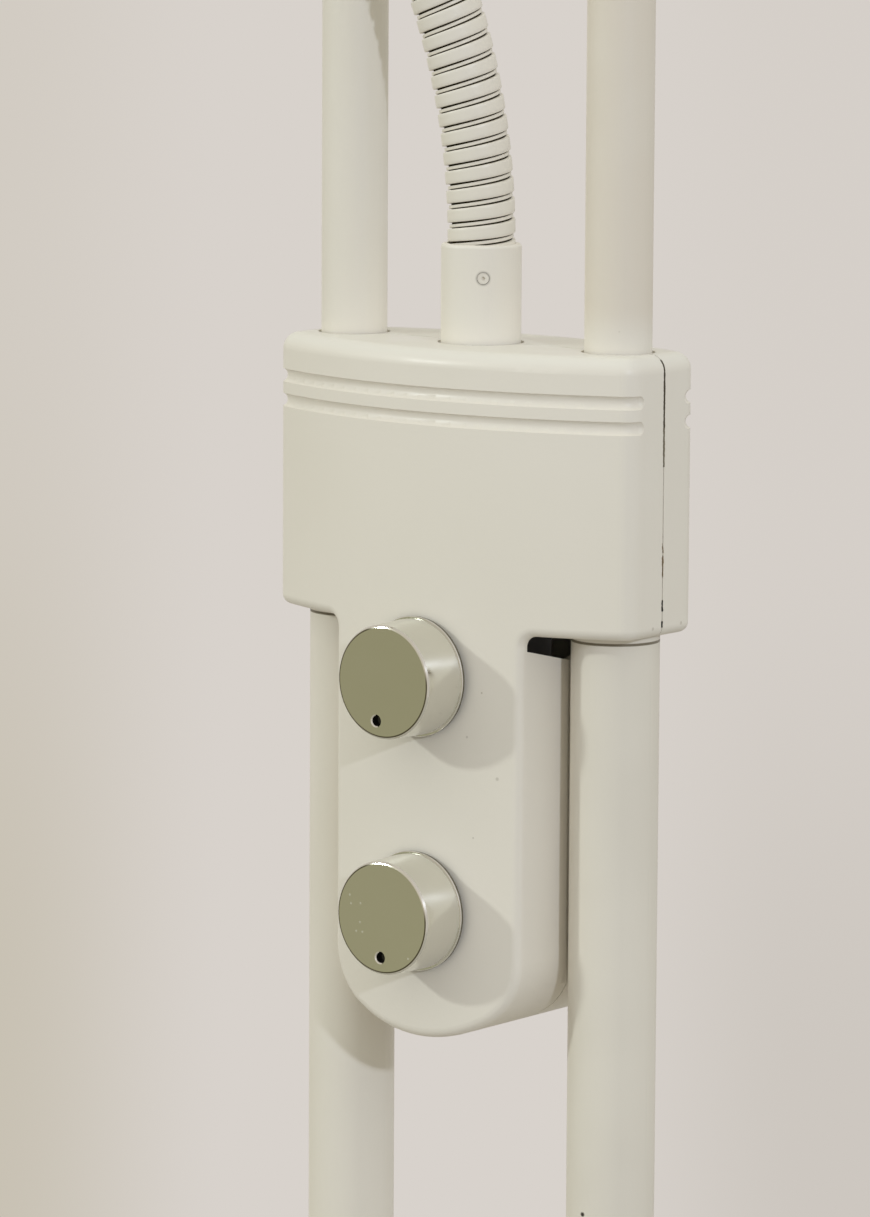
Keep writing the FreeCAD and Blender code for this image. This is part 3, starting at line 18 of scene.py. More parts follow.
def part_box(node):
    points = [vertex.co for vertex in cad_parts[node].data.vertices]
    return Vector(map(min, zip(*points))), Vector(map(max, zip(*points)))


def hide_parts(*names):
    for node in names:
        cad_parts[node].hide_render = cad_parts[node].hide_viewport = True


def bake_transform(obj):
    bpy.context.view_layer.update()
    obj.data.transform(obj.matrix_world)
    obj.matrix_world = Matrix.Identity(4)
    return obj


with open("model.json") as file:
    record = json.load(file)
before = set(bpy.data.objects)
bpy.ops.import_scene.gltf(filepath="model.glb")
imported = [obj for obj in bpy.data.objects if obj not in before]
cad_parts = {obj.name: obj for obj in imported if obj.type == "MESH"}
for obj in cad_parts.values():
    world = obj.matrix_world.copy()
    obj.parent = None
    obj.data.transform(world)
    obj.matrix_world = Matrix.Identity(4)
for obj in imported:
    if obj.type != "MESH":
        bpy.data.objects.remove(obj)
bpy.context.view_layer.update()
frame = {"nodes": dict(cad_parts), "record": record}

log = logging.getLogger("floor_lamp")
Colour = tuple[float, float, float]
Point = tuple[float, float, float]
Span = tuple[float, float]
Socket = bpy.types.NodeSocket
MM = 0.001


def srgb(red: int, green: int, blue: int) -> Colour:
    """Linear colour from 8-bit display values.

    Args:
        red: Red, 0 to 255.
        green: Green, 0 to 255.
        blue: Blue, 0 to 255.

    Returns:
        The three linear channels.
    """

    def channel(value: int) -> float:
        """One channel, from display to linear."""
        part = value / 255.0
        return part / 12.92 if part <= 0.04045 else ((part + 0.055) / 1.055) ** 2.4

    return channel(red), channel(green), channel(blue)


WHITE = srgb(238, 232, 221)
WHITE_WORN = srgb(235, 229, 217)
WHITE_FRESH = srgb(240, 236, 227)
WHITE_AGED = srgb(231, 222, 208)
WHITE_DARKER = srgb(230, 224, 212)
NICKEL = srgb(236, 233, 222)
NICKEL_DULL = srgb(230, 227, 215)


class Op(Enum):
    """Arithmetic that the node trees use."""

    ADD = "ADD"
    SUBTRACT = "SUBTRACT"
    MULTIPLY = "MULTIPLY"
    DIVIDE = "DIVIDE"
    LESS = "LESS_THAN"
    GREATER = "GREATER_THAN"
    LARGER = "MAXIMUM"
    SMALLER = "MINIMUM"
    FLOOR = "FLOOR"
    FRACTION = "FRACT"
    SINE = "SINE"
    COSINE = "COSINE"
    POWER = "POWER"
    ROOT = "SQRT"


class Wiring:
    """A node tree with short calls for the nodes that the finishes and the gooseneck need."""

    # A Mix node has sockets of the same name for each type, so those for colours go by number.
    MIX_FIRST: int = 6
    MIX_SECOND: int = 7
    MIX_RESULT: int = 2

    def __init__(self, tree: bpy.types.NodeTree) -> None:
        """Keeps the tree that the nodes go into."""
        self.tree = tree

    def node(self, kind: str, **settings: object) -> bpy.types.Node:
        """A new node.

        Args:
            kind: Blender's name of the node type.
            settings: Properties to set on it.

        Returns:
            The node.
        """
        made = self.tree.nodes.new(kind)
        for name, value in settings.items():
            setattr(made, name, value)
        return made

    def feed(self, socket: Socket, value: object) -> None:
        """Links a socket to another, or sets it to a plain value.

        Args:
            socket: Input to fill.
            value: Output socket, or a number, vector or colour.
        """
        if isinstance(value, Socket):
            self.tree.links.new(value, socket)
        else:
            socket.default_value = value

    def chain(self, flow: Socket, *steps: bpy.types.Node) -> Socket:
        """Leads a flow through nodes, by the first input and output of each.

        Args:
            flow: Socket to start from.
            steps: Nodes in order.

        Returns:
            The last node's output.
        """
        for step in steps:
            self.feed(step.inputs[0], flow)
            flow = step.outputs[0]
        return flow

    def math(self, op: Op, first: object, second: object = 0.0) -> Socket:
        """Arithmetic on one or two values.

        Args:
            op: What to do.
            first: Socket or number.
            second: Socket or number, where the operation takes two.

        Returns:
            The result's socket.
        """
        made = self.node("ShaderNodeMath", operation=op.value)
        self.feed(made.inputs[0], first)
        self.feed(made.inputs[1], second)
        return made.outputs[0]

    def total(self, *values: object) -> Socket:
        """Sum of two or more sockets or numbers."""
        return reduce(lambda first, second: self.math(Op.ADD, first, second), values)

    def product(self, *values: object) -> Socket:
        """Product of two or more sockets or numbers."""
        return reduce(lambda first, second: self.math(Op.MULTIPLY, first, second), values)

    def length(self, first: object, second: object) -> Socket:
        """Length of a line from its two parts at right angles."""
        squares = self.total(self.product(first, first), self.product(second, second))
        return self.math(Op.ROOT, squares)

    def ramp(self, value: object, low: float, high: float, to_low: float = 0.0,
             to_high: float = 1.0) -> Socket:
        """Smooth step of a value from one range to another.

        Args:
            value: Socket to map.
            low: Value that gives to_low.
            high: Value that gives to_high.
            to_low: Result at low.
            to_high: Result at high.

        Returns:
            The result's socket.
        """
        made = self.node("ShaderNodeMapRange", interpolation_type="SMOOTHSTEP")
        for index, given in enumerate((value, low, high, to_low, to_high)):
            self.feed(made.inputs[index], given)
        return made.outputs[0]

    def mix(self, share: object, first: object, second: object) -> Socket:
        """Blend of two colours.

        Args:
            share: How much of the second, 0 to 1.
            first: Colour or socket.
            second: Colour or socket.

        Returns:
            The colour's socket.
        """
        made = self.node("ShaderNodeMix", data_type="RGBA")
        self.feed(made.inputs[0], share)
        for index, value in ((self.MIX_FIRST, first), (self.MIX_SECOND, second)):
            self.feed(made.inputs[index], (*value, 1.0) if isinstance(value, tuple) else value)
        return made.outputs[self.MIX_RESULT]

    def split(self, vector: object) -> Sequence[Socket]:
        """Parts of a vector.

        Args:
            vector: Socket of the vector.

        Returns:
            The sockets of its X, Y and Z.
        """
        made = self.node("ShaderNodeSeparateXYZ")
        self.feed(made.inputs[0], vector)
        return made.outputs

    def join(self, x: object, y: object, z: object) -> Socket:
        """A vector from its parts.

        Args:
            x: Socket or number.
            y: Socket or number.
            z: Socket or number.

        Returns:
            The vector's socket.
        """
        made = self.node("ShaderNodeCombineXYZ")
        for socket, value in zip(made.inputs, (x, y, z)):
            self.feed(socket, value)
        return made.outputs[0]

    def dot(self, vector: object, way: Point) -> Socket:
        """How far a vector reaches along a direction.

        Args:
            vector: Socket of the vector.
            way: The direction, of length 1.

        Returns:
            The result's socket.
        """
        made = self.node("ShaderNodeVectorMath", operation="DOT_PRODUCT")
        self.feed(made.inputs[0], vector)
        self.feed(made.inputs[1], way)
        return made.outputs["Value"]


class Coat(Wiring):
    """The node tree of one material, with its shader at hand."""

    # Share of a mark's radius that is whole, before the mark fades out to its edge.
    SPECK_CORE: float = 0.6
    SPOT_CORE: float = 0.4

    def __init__(self, name: str) -> None:
        """Starts an empty material with one shader.

        Args:
            name: Name of the material.
        """
        self.material = bpy.data.materials.new(name)
        self.material.use_nodes = True
        super().__init__(self.material.node_tree)
        self.tree.nodes.clear()
        self.shader = self.node("ShaderNodeBsdfPrincipled")
        self.output = self.node("ShaderNodeOutputMaterial")
        self.feed(self.output.inputs["Surface"], self.shader.outputs[0])
        self.place = self.node("ShaderNodeTexCoord").outputs["Object"]

    def set(self, **values: object) -> None:
        """Sets inputs of the shader.

        Args:
            values: Socket or value for each input, by its name with underscores for blanks.
        """
        for name, value in values.items():
            given = (*value, 1.0) if isinstance(value, tuple) and len(value) == 3 else value
            self.feed(self.shader.inputs[name.replace("_", " ")], given)

    def noise(self, scale: float, detail: float = 3.0) -> Socket:
        """Soft noise over the surface.

        Args:
            scale: Waves per metre.
            detail: Octaves.

        Returns:
            The noise value's socket.
        """
        made = self.node("ShaderNodeTexNoise")
        self.feed(made.inputs["Vector"], self.place)
        self.feed(made.inputs["Scale"], scale)
        self.feed(made.inputs["Detail"], detail)
        return made.outputs[0]

    def specks(self, per_metre: float, size: float, share: float) -> Socket:
        """Scattered small dots, 1 inside a dot and 0 outside.

        Args:
            per_metre: Cells per metre.
            size: Dot radius as a share of a cell.
            share: Share of the cells that hold a dot.

        Returns:
            The mask's socket.
        """
        made = self.node("ShaderNodeTexVoronoi", feature="F1")
        self.feed(made.inputs["Vector"], self.place)
        self.feed(made.inputs["Scale"], per_metre)
        near = self.ramp(made.outputs["Distance"], size, size * self.SPECK_CORE)
        chosen = self.math(Op.LESS, self.split(made.outputs["Color"])[0], share)
        return self.product(near, chosen)

    def spot(self, centre: Point, radius: float) -> Socket:
        """Soft round mark, 1 in its middle and 0 past its edge.

        Args:
            centre: Point on the surface, in metres.
            radius: Reach of the mark.

        Returns:
            The mask's socket.
        """
        made = self.node("ShaderNodeVectorMath", operation="DISTANCE")
        self.feed(made.inputs[0], self.place)
        self.feed(made.inputs[1], centre)
        return self.ramp(made.outputs["Value"], radius, radius * self.SPOT_CORE)

    def between(self, value: object, low: float, high: float, soft: float) -> Socket:
        """Mask of the places where a value lies between two limits.

        Args:
            value: Socket to test.
            low: Lower limit.
            high: Upper limit.
            soft: Width of the fade past each limit.

        Returns:
            The mask's socket.
        """
        return self.product(self.ramp(value, low - soft, low), self.ramp(value, high + soft, high))

    def cover(self, mask: object, colour: Colour, strength: float = 1.0) -> None:
        """Paints another colour over the base.

        Args:
            mask: Socket that is 1 where the colour goes and 0 elsewhere.
            colour: The colour.
            strength: How much of the base it hides, 0 to 1.
        """
        under = self.shader.inputs["Base Color"].links[0].from_socket
        self.set(Base_Color=self.mix(self.product(mask, strength), under, colour))

    def bump(self, height: object, depth: float) -> None:
        """Raises the surface by a height map.

        Args:
            height: Socket of the height, 0 to 1.
            depth: Metres for a height of 1.
        """
        made = self.node("ShaderNodeBump")
        self.feed(made.inputs["Distance"], depth)
        self.feed(made.inputs["Height"], height)
        self.feed(self.shader.inputs["Normal"], made.outputs[0])


@dataclass(frozen=True)
class Finish:
    """A surface finish with a little variation in colour, gloss and relief."""

    name: str
    colour: Colour
    second: Colour
    roughness: float
    metallic: float = 0.0
    variation: float = 12.0
    colour_span: Span = (0.35, 0.65)
    gloss_waves: float = 4.0
    gloss_span: Span = (0.3, 0.7)
    gloss_spread: float = 0.08
    specular: float = 0.5
    grain: float = 900.0
    grain_detail: float = 2.0
    relief: float = 0.02 * MM

    def coat(self) -> Coat:
        """The finish's node tree, before anything special is added.

        Returns:
            The material in the making.
        """
        coat = Coat(self.name)
        share = coat.ramp(coat.noise(self.variation), *self.colour_span)
        gloss = coat.ramp(coat.noise(self.variation * self.gloss_waves), *self.gloss_span,
                          self.roughness - self.gloss_spread, self.roughness + self.gloss_spread)
        coat.set(Base_Color=coat.mix(share, self.colour, self.second), Metallic=self.metallic,
                 Specular_IOR_Level=self.specular, Roughness=gloss)
        coat.bump(coat.noise(self.grain, self.grain_detail), self.relief)
        return coat

    def material(self) -> bpy.types.Material:
        """The finished material."""
        return self.coat().material


@dataclass(frozen=True)
class Lacquer(Finish):
    """Satin paint on metal, with a few specks of dirt."""

    speck: Colour = srgb(168, 154, 130)
    speck_cells: float = 95.0
    speck_size: float = 0.04
    speck_share: float = 0.03
    speck_strength: float = 0.6

    def coat(self) -> Coat:
        """The paint's node tree.

        Returns:
            The material in the making.
        """
        coat = super().coat()
        dots = coat.specks(self.speck_cells, self.speck_size, self.speck_share)
        coat.cover(dots, self.speck, self.speck_strength)
        return coat


@dataclass(frozen=True)
class HousingPaint(Lacquer):
    """The housing's paint, with dust and painted shade on top, chipped along the right seam and lightly
    marked.
    """

    # Greyer paint over the top face and its edge: dust, and painted shade that dims the top and the edge's
    # highlight.
    dust_and_shade: Colour = srgb(226, 225, 218)
    dust_and_shade_height: Span = (1096.0 * MM, 1099.3 * MM)
    dust_and_shade_strength: float = 0.5
    seam_half_width: float = 0.35 * MM
    seam_fade: float = 0.1 * MM
    ragged_waves: float = 900.0
    chips: tuple[tuple[float, float, Colour], ...] = (
        (1.0240, 1.0255, srgb(34, 29, 22)),
        (1.0285, 1.0314, srgb(34, 29, 22)),
        (1.0690, 1.0800, srgb(136, 127, 108)),
        (1.0800, 1.0985, srgb(98, 90, 74)))
    chip_fade: float = 0.3 * MM
    smudge: Span = (1.0385, 1.0500)
    smudge_fade: float = 1.0 * MM
    smudge_waves: float = 420.0
    smudge_span: Span = (0.46, 0.56)
    smudge_colour: Colour = srgb(148, 130, 102)
    marks: tuple[tuple[Point, float], ...] = (
        ((0.0630, -0.0043, 1.0239), 0.7 * MM),
        ((0.0630, 0.0091, 1.0242), 0.7 * MM),
        ((0.0624, 0.0131, 1.0829), 0.8 * MM),
        ((0.0166, -0.0285, 0.9917), 0.5 * MM),
        ((0.0262, -0.0270, 0.9806), 0.7 * MM),
        ((0.0188, -0.0282, 0.9632), 0.4 * MM))
    mark_colour: Colour = srgb(150, 140, 122)
    mark_strength: float = 0.35

    def coat(self) -> Coat:
        """The paint's node tree.

        Returns:
            The material in the making.
        """
        coat = super().coat()
        x, y, z = coat.split(coat.place)
        # Dust and painted shade over the top face and the highlight on its edge.
        coat.cover(coat.ramp(z, *self.dust_and_shade_height), self.dust_and_shade, self.dust_and_shade_strength)
        ragged = coat.math(Op.SUBTRACT, coat.noise(self.ragged_waves), 0.5)
        wavy = coat.total(y, coat.product(ragged, 2.0 * self.seam_half_width))
        seam = coat.between(wavy, -self.seam_half_width, self.seam_half_width, self.seam_fade)
        seam = coat.product(seam, coat.math(Op.GREATER, x, 0.0))
        for low, high, colour in self.chips:
            coat.cover(coat.product(seam, coat.between(z, low, high, self.chip_fade)), colour)
        patchy = coat.product(seam, coat.ramp(coat.noise(self.smudge_waves), *self.smudge_span))
        smudged = coat.product(patchy, coat.between(z, *self.smudge, self.smudge_fade))
        coat.cover(smudged, self.smudge_colour)
        for place, radius in self.marks:
            coat.cover(coat.spot(place, radius), self.mark_colour, self.mark_strength)
        return coat


@dataclass(frozen=True)
class StemPaint(Lacquer):
    """A stem's paint, with a painted shadow line where the tube goes up into the housing, and one chip."""

    # Painted shadow on the stem below the housing's edge: its heights, fade and colour.
    line: Span = (1018.9 * MM, 1019.4 * MM)
    line_fade: float = 0.25 * MM
    darkening: Colour = srgb(122, 114, 96)
    chip: Point = (0.0465, -0.0125, 0.8563)
    chip_radius: float = 0.9 * MM
    chip_colour: Colour = srgb(48, 42, 32)

    def coat(self) -> Coat:
        """The paint's node tree.

        Returns:
            The material in the making.
        """
        coat = super().coat()
        # Painted shadow: a thin dark line on the stem just below the housing's lower edge, where the housing
        # shades it.
        coat.cover(coat.between(coat.split(coat.place)[2], *self.line, self.line_fade), self.darkening)
        coat.cover(coat.spot(self.chip, self.chip_radius), self.chip_colour)
        return coat


@dataclass(frozen=True)
class AgedPaint(Lacquer):
    """A tube's yellowed paint, which turns back to the plain white near the foot of the tube."""

    fresh: Colour = WHITE
    foot: Span = (1114.0 * MM, 1102.0 * MM)

    def coat(self) -> Coat:
        """The paint's node tree.

        Returns:
            The material in the making.
        """
        coat = super().coat()
        coat.cover(coat.ramp(coat.split(coat.place)[2], *self.foot), self.fresh)
        return coat


@dataclass(frozen=True)
class FerrulePaint(Lacquer):
    """The neck ferrule's paint, darker round its set screw."""

    screw: Point = (0.0073, -0.0102, 1.1188)
    reach: float = 2.5 * MM
    darkening: Colour = srgb(104, 97, 84)

    def coat(self) -> Coat:
        """The paint's node tree.

        Returns:
            The material in the making.
        """
        coat = super().coat()
        # A darker ring of paint round the set screw.
        coat.cover(coat.spot(self.screw, self.reach), self.darkening)
        return coat


@dataclass(frozen=True)
class StripPaint(Lacquer):
    """The hose's paint, with painted shade and dull down in the seams of the strip."""

    # Colour and heights of the painted shade in the seams of the strip.
    darkening: Colour = srgb(62, 54, 37)
    seam_shade_height: Span = (0.45, 0.10)
    gloss_height: Span = (0.10, 0.55)

    def coat(self) -> Coat:
        """The paint's node tree.

        Returns:
            The material in the making.
        """
        coat = super().coat()
        height = coat.node("ShaderNodeAttribute", attribute_name="strip_height").outputs["Fac"]
        # Painted shade: the seams of the strip darkened, and their sheen taken out, where the strip's walls
        # would shade them.
        coat.cover(coat.ramp(height, *self.seam_shade_height), self.darkening)
        coat.set(Specular_IOR_Level=coat.ramp(height, *self.gloss_height, 0.0, self.specular))
        return coat


@dataclass(frozen=True)
class KnobMetal(Finish):
    """A knob's polished metal, with a blackened mark drilled near the rim of the face, a painted dark
    reflection round the rim of the face and a painted shadow on the lip at its back.
    """

    metallic: float = 1.0
    gloss_spread: float = 0.03
    grain: float = 2400.0
    relief: float = 0.002 * MM
    face: float = 0.0
    axis_height: float = 0.0
    mark_turn: float = 0.0
    mark_offset: float = 11.4 * MM
    mark_radius: float = 1.5 * MM
    mark_rim: float = 0.30 * MM
    black: Colour = srgb(14, 12, 8)
    # Painted reflection: a thin dark ring at the rim of the face, dimmed towards the upper right where the
    # rim catches the lamp.
    edge: Span = (15.28 * MM, 15.62 * MM)
    edge_fade: float = 0.05 * MM
    edge_depth: float = 0.25 * MM
    bright_turn: float = 32.0
    bright_span: Span = (0.80, 0.55)
    dark: Colour = srgb(104, 99, 80)
    barrel: Colour = srgb(229, 228, 220)
    # Painted shadow on the lip at the back of the knob, where it meets the housing.
    lip_depth: float = 14.65 * MM
    lip_strength: float = 0.85
    shade: Colour = srgb(84, 78, 60)
    flecks: tuple[Span, ...] = ()
    fleck_radius: float = 0.45 * MM
    fleck_strength: float = 0.3
    pale: Colour = srgb(252, 250, 242)

    def coat(self) -> Coat:
        """The metal's node tree.

        Returns:
            The material in the making.
        """
        coat = super().coat()
        x, y, z = coat.split(coat.place)
        turn, bright = math.radians(self.mark_turn), math.radians(self.bright_turn)
        across = coat.total(x, self.mark_offset * math.sin(turn))
        rise = coat.math(Op.SUBTRACT, z, self.axis_height - self.mark_offset * math.cos(turn))
        inside = coat.product(coat.math(Op.LESS, coat.length(across, rise), self.mark_radius),
                              coat.math(Op.GREATER, y, self.face + self.mark_rim))
        # Painted reflection: a thin dark ring round the rim of the face, faded out towards the upper right
        # where the rim shows a glint.
        middle = coat.math(Op.SUBTRACT, z, self.axis_height)
        toward = coat.total(coat.product(x, math.sin(bright)), coat.product(middle, math.cos(bright)))
        dim = coat.ramp(coat.math(Op.DIVIDE, toward, self.edge[1]), *self.bright_span)
        rim = coat.product(coat.between(coat.length(x, middle), *self.edge, self.edge_fade),
                           coat.math(Op.LESS, y, self.face + self.edge_depth))
        coat.cover(coat.math(Op.GREATER, y, self.face + self.edge_depth), self.barrel)
        coat.cover(coat.product(rim, dim), self.dark)
        # Painted shadow: the lip at the back of the knob darkened where it meets the housing.
        coat.cover(coat.math(Op.GREATER, y, self.face + self.lip_depth), self.shade, self.lip_strength)
        coat.cover(inside, self.black)
        spots = 0.0
        for side, up in self.flecks:
            spot = coat.spot((side * MM, self.face, self.axis_height + up * MM), self.fleck_radius)
            spots = coat.math(Op.LARGER, spots, spot)
        spots = coat.product(spots, self.fleck_strength)
        coat.cover(spots, self.pale)
        plain = coat.math(Op.SUBTRACT, 1.0, coat.math(Op.LARGER, inside, spots))
        coat.set(Metallic=coat.product(plain, self.metallic))
        return coat


@dataclass(frozen=True)
class Glaze(Finish):
    """Clear or frosted glass."""

    passing: float = 1.0
    bend: float = 1.46

    def coat(self) -> Coat:
        """The glass's node tree.

        Returns:
            The material in the making.
        """
        coat = super().coat()
        coat.set(Transmission_Weight=self.passing, IOR=self.bend)
        return coat


class Finishes:
    """Every material of the lamp, by the record's slot, and those of single nodes."""

    # Turn of each knob's mark, clockwise from the bottom of the face, in degrees.
    KNOB_MARKS: tuple[tuple[str, float], ...] = (("upper_knob", 12.0), ("lower_knob", 3.0))

    # Flecks on the lower knob's face, in millimetres to the right of its middle and above it.
    KNOB_FLECKS: tuple[Span, ...] = (
        (-11.0, 3.0), (-11.5, 5.4), (-7.6, 3.4), (-7.8, -2.0), (-9.1, -4.7), (-6.9, -4.7), (9.5, -10.4))

    TABLE: tuple[tuple[str, Finish], ...] = (
        ("white_lacquer", Lacquer("warm_white_lacquer", WHITE, WHITE_WORN, 0.42)),
        ("hose_lacquer", StripPaint("hose_lacquer", WHITE, WHITE_WORN, 0.40)),
        ("polished_knob", Finish("polished_nickel", NICKEL, NICKEL_DULL, 0.14, metallic=1.0)),
        ("cast_iron", Finish("cast_iron", srgb(58, 57, 56), srgb(46, 45, 44), 0.75, metallic=0.4,
                             grain=420.0, relief=0.2 * MM)),
        ("rubber", Finish("black_rubber", srgb(38, 37, 36), srgb(30, 29, 29), 0.7, grain=1600.0)),
        ("black_plastic", Finish("black_plastic", srgb(28, 27, 26), srgb(22, 21, 21), 0.5, grain=1800.0)),
        ("zinc_steel", Finish("zinc_plate", srgb(176, 177, 176), srgb(160, 161, 161), 0.36, metallic=1.0)),
        ("brass", Finish("bright_brass", srgb(206, 176, 104), srgb(190, 158, 88), 0.28, metallic=1.0)),
        ("cable", Finish("white_sheath", srgb(216, 213, 203), srgb(208, 204, 192), 0.48)),
        ("porcelain", Finish("glazed_porcelain", srgb(226, 223, 213), srgb(219, 215, 203), 0.22)),
        ("lamp_glass", Glaze("frosted_glass", srgb(240, 240, 236), srgb(234, 234, 229), 0.45, passing=0.75)),
        ("cover_glass", Glaze("clear_glass", srgb(246, 250, 248), srgb(243, 248, 246), 0.06,
                              gloss_spread=0.03, relief=0.001 * MM)),
        ("reflector", Finish("hammered_aluminium", srgb(206, 206, 204), srgb(196, 196, 194), 0.24,
                             metallic=1.0, grain=240.0, relief=0.3 * MM)),
    )

    def __init__(self) -> None:
        """Builds one material for each slot and those of single nodes."""
        self.by_slot = {slot: finish.material() for slot, finish in self.TABLE}
        housing = HousingPaint("housing_lacquer", WHITE, WHITE_WORN, 0.42).material()
        fresh = FerrulePaint("fresh_lacquer", WHITE_FRESH, WHITE, 0.40).material()
        aged = AgedPaint("aged_lacquer", WHITE_AGED, WHITE_WORN, 0.44).material()
        self.by_node = {"housing_front": housing, "housing_rear": housing, "neck_ferrule": fresh,
                        "upper_tube_right": aged}
        # The right stem's paint is a little darker than the left stem's.
        for name, tone in (("lower_tube_left", WHITE), ("lower_tube_right", WHITE_DARKER)):
            self.by_node[name] = StemPaint(f"{name}_lacquer", tone, WHITE_WORN, 0.42).material()
        for name, turn in self.KNOB_MARKS:
            low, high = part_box(name)
            metal = KnobMetal(f"{name}_nickel", NICKEL, NICKEL_DULL, 0.14, face=low[1],
                              axis_height=(low[2] + high[2]) / 2, mark_turn=turn,
                              flecks=self.KNOB_FLECKS if name == "lower_knob" else ())
            self.by_node[name] = metal.material()

    def dress_nodes(self) -> None:
        """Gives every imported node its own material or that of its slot."""
        for part in frame["record"]["subparts"]:
            node = frame["nodes"][part["node"]]
            material = self.by_node.get(part["node"], self.by_slot[part["material_slot"]])
            node.data.materials.clear()
            node.data.materials.append(material)
            log.info("%s: %s", part["node"], material.name)


def add_piece(name: str, mesh: bpy.types.Mesh) -> bpy.types.Object:
    """Links a mesh into the scene as a piece at the origin.

    Args:
        name: Name of the piece.
        mesh: Its mesh.

    Returns:
        The object.
    """
    mesh.name = name
    piece = bpy.data.objects.new(name, mesh)
    bpy.context.scene.collection.objects.link(piece)
    return piece


def apply_modifiers(piece: bpy.types.Object) -> None:
    """Turns a piece's modifiers into its mesh.

    Args:
        piece: The piece, which keeps its name and place.
    """
    graph = bpy.context.evaluated_depsgraph_get()
    mesh = bpy.data.meshes.new_from_object(piece.evaluated_get(graph))
    piece.modifiers.clear()
    piece.data = mesh


def rod(name: str, points: Sequence[Vector], ways: Sequence[Vector], radius: float, sides: int,
        material: bpy.types.Material) -> bpy.types.Object:
    """A round rod with closed ends, along a line in the plane X = 0.

    Args:
        name: Name of the piece.
        points: Its centre line.
        ways: Direction of the line at each point.
        radius: Its radius.
        sides: Sides around.
        material: Its finish.

    Returns:
        The object.
    """
    form = bmesh.new()
    rings = []
    across = Vector((1, 0, 0))
    for point, way in zip(points, ways):
        up = way.cross(across)
        rings.append([form.verts.new(point + radius * (math.cos(a) * across + math.sin(a) * up))
                      for a in (math.tau * i / sides for i in range(sides))])
    for first, second in zip(rings, rings[1:]):
        for i in range(sides):
            j = (i + 1) % sides
            form.faces.new((first[i], first[j], second[j], second[i])).smooth = True
    form.faces.new(reversed(rings[0]))
    form.faces.new(rings[-1])
    mesh = bpy.data.meshes.new(name)
    form.to_mesh(mesh)
    form.free()
    mesh.materials.append(material)
    return add_piece(name, mesh)


